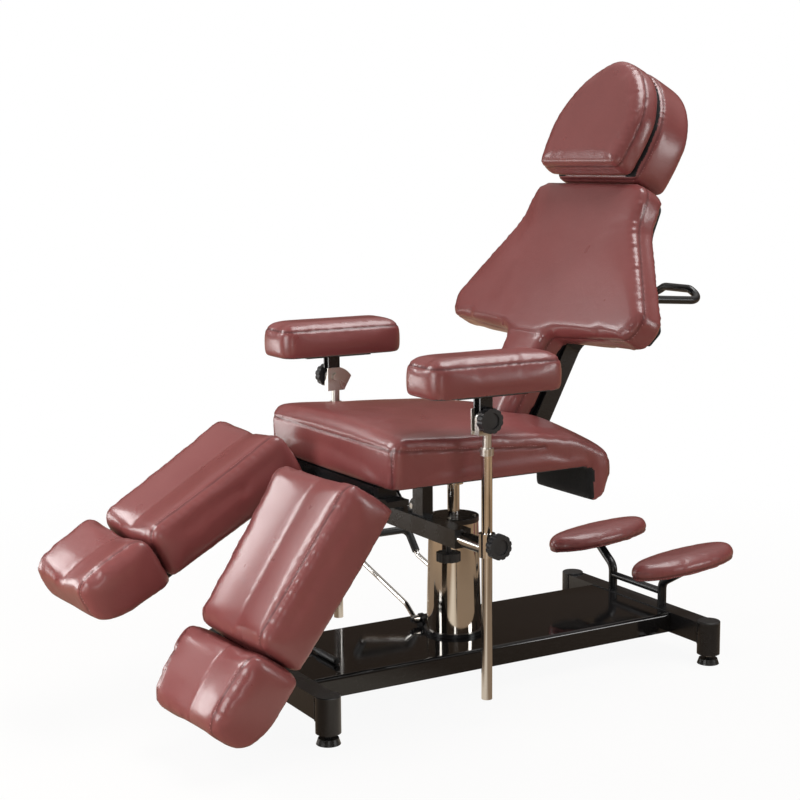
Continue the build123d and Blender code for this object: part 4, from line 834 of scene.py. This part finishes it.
def on_seat_side(co):
    """Whether a point is on the seat's front or sides, off its underside and rear."""
    outer = abs(co.x) > seam_zone_x or co.y < seat_front_y + seam_zone_y
    return co.z > seat_low_z + seam_above_base and outer and co.y < seam_rear_y


def on_seat_corner(side):
    """A test for points at one front corner of the seat, under its edge seam."""
    def inside(co):
        """Whether a point is at that corner."""
        low_enough = seat_low_z + corner_seam_base < co.z < seat_seam_z - corner_seam_gap
        return low_enough and side * co.x > seam_zone_x and co.y < seat_front_y + corner_zone_y
    return inside


sewn(seat, "seat", "seat_stitching", [
    ((0, seat_front_y, seat_seam_z), (0, math.sin(seat_top_slope), math.cos(seat_top_slope)), on_seat_side),
    ((seat_half_x - corner_inset, seat_front_y, 0), (1, 1, 0), on_seat_corner(1)),
    ((-seat_half_x + corner_inset, seat_front_y, 0), (-1, 1, 0), on_seat_corner(-1)),
    ((0, flap_y, seat_low_z), (0, 1, 0), lambda co: co.z > flap_low_z and abs(co.x) > flap_x),
])

# Armrest cushions
# Long firm pads on steel plates. The top panel is sewn to a boxing strip all round, just
# under the upper edge.
arm_low_z, arm_height, far_lift = 0.657, 0.071, 0.013
arm_seam_drop = 0.010
for side, lift in (("near", 0.0), ("far", far_lift)):
    pad = puffed(f"{side}_arm_pad", f"{side}_arm_cushion", f"{side}_pad", voxel=0.006, held=(down,),
                 limit=0.003, pressure=5.0, rounds=3)
    seam_z = arm_low_z + arm_height - arm_seam_drop + lift
    sewn(pad, f"{side}_pad", f"{side}_arm_stitching", [((0, 0, seam_z), (0, 0, 1), lambda co: True)])

# Rear leg rest pads
# Two thin oval pads on the bent frame behind the column, with a seam low on their edge.
rest_tilt = math.radians(4.5)
rest_low = Vector((0, 0.477 + shift_y, 0.190))
rest_up = Vector((0, -math.sin(rest_tilt), math.cos(rest_tilt)))
rest_seam_rise = 0.009
rest = puffed("rest_pad_pair", "rest_pads", "base", voxel=0.005, held=(tuple(-rest_up),), limit=0.003,
              reach=0.003, rounds=3)
sewn(rest, "base", "rest_stitching", [(rest_low + rest_up * rest_seam_rise, rest_up, lambda co: True)])

# Leg cushions
# Each leg has a long pad and a short foot pad, both hollowed along the middle, with a
# stitched seam down each crest.
leg_socket_x, leg_socket_y = 0.177, -0.315 + shift_y
leg_hinge_y, leg_hinge_z = -0.043, 0.448
crest_x, crest_low = 0.117, 0.045
leg_seam_start, foot_seam_start = -0.010, -0.366
leg_taper, foot_taper = 0.037, 0.085
for side, sign, yaw, pitch in (("near", 1, 5.2, 53.3), ("far", -1, -3.8, 29.2)):
    leg_turn = (Matrix.Translation((sign * leg_socket_x, leg_socket_y, 0))
                @ Matrix.Rotation(math.radians(sign * yaw), 4, "Z")
                @ Matrix.Translation((0, leg_hinge_y, leg_hinge_z))
                @ Matrix.Rotation(math.radians(pitch), 4, "X"))
    under = tuple(leg_turn.to_3x3() @ Vector((0, 0, -1)))
    to_leg = leg_turn.inverted()

    def on_top(co, back=to_leg):
        """Whether a point is on the upper part of a leg pad."""
        return (back @ co).z > crest_low

    def crest_lines(start_y, taper):
        """The seam planes of both crests of a pad that narrows towards the toes."""
        return [(leg_turn @ Vector((edge * crest_x, start_y, 0)),
                 leg_turn.to_3x3() @ Vector((1, -edge * taper, 0)), on_top) for edge in (1, -1)]

    leg = puffed(f"{side}_leg_pad", f"{side}_leg_cushion", f"{side}_leg", held=(under,), reach=0.008,
                 rounds=2)
    sewn(leg, f"{side}_leg", f"{side}_leg_stitching", crest_lines(leg_seam_start, leg_taper))
    foot = puffed(f"{side}_foot_pad", f"{side}_foot_cushion", f"{side}_foot", held=(under,), reach=0.008,
                  rounds=2)
    sewn(foot, f"{side}_foot", f"{side}_foot_stitching", crest_lines(foot_seam_start, foot_taper))

# Back cushion
# A winged foam pad on a shaped board. The cover is a front panel sewn to a boxing strip,
# with the seam round its edge a finger's width behind the face.
back_lean = math.radians(28.0)
hinge = Vector((0, 0.118 + shift_y, 0.472))
back_out = Vector((0, -math.cos(back_lean), math.sin(back_lean)))
back_up = Vector((0, math.sin(back_lean), math.cos(back_lean)))
face_out, back_seam_set, back_seam_foot = 0.089, 0.020, 0.03
back = puffed("back_pad", "back_cushion", "back", held=(tuple(-back_out),), pressure=4.5, rounds=3)
sewn(back, "back", "back_stitching", [
    (hinge + back_out * (face_out - back_seam_set), back_out,
     lambda co: (co - hinge).dot(back_up) > back_seam_foot)])

# Head cushion and pillow
# A thick arched cushion on its own board, and in front of it a pillow of the same outline
# held by a hook and loop strip. Both have a seam round the edge.
head_seam_set, pillow_seam_rise = 0.012, 0.040
head = puffed("head_pad", "head_cushion", "head", voxel=0.006, held=(tuple(-back_out), tuple(back_out)),
              rounds=3)
sewn(head, "head", "head_stitching", [
    (hinge + back_out * (face_out - head_seam_set), back_out, lambda co: True)])
pillow = puffed("head_front_pillow", "head_pillow", "pillow", voxel=0.006, held=(tuple(-back_out),),
                limit=0.0025, pressure=5.0, rounds=3)
sewn(pillow, "pillow", "pillow_stitching", [
    (hinge + back_out * (face_out + pillow_seam_rise), back_out, lambda co: True)])
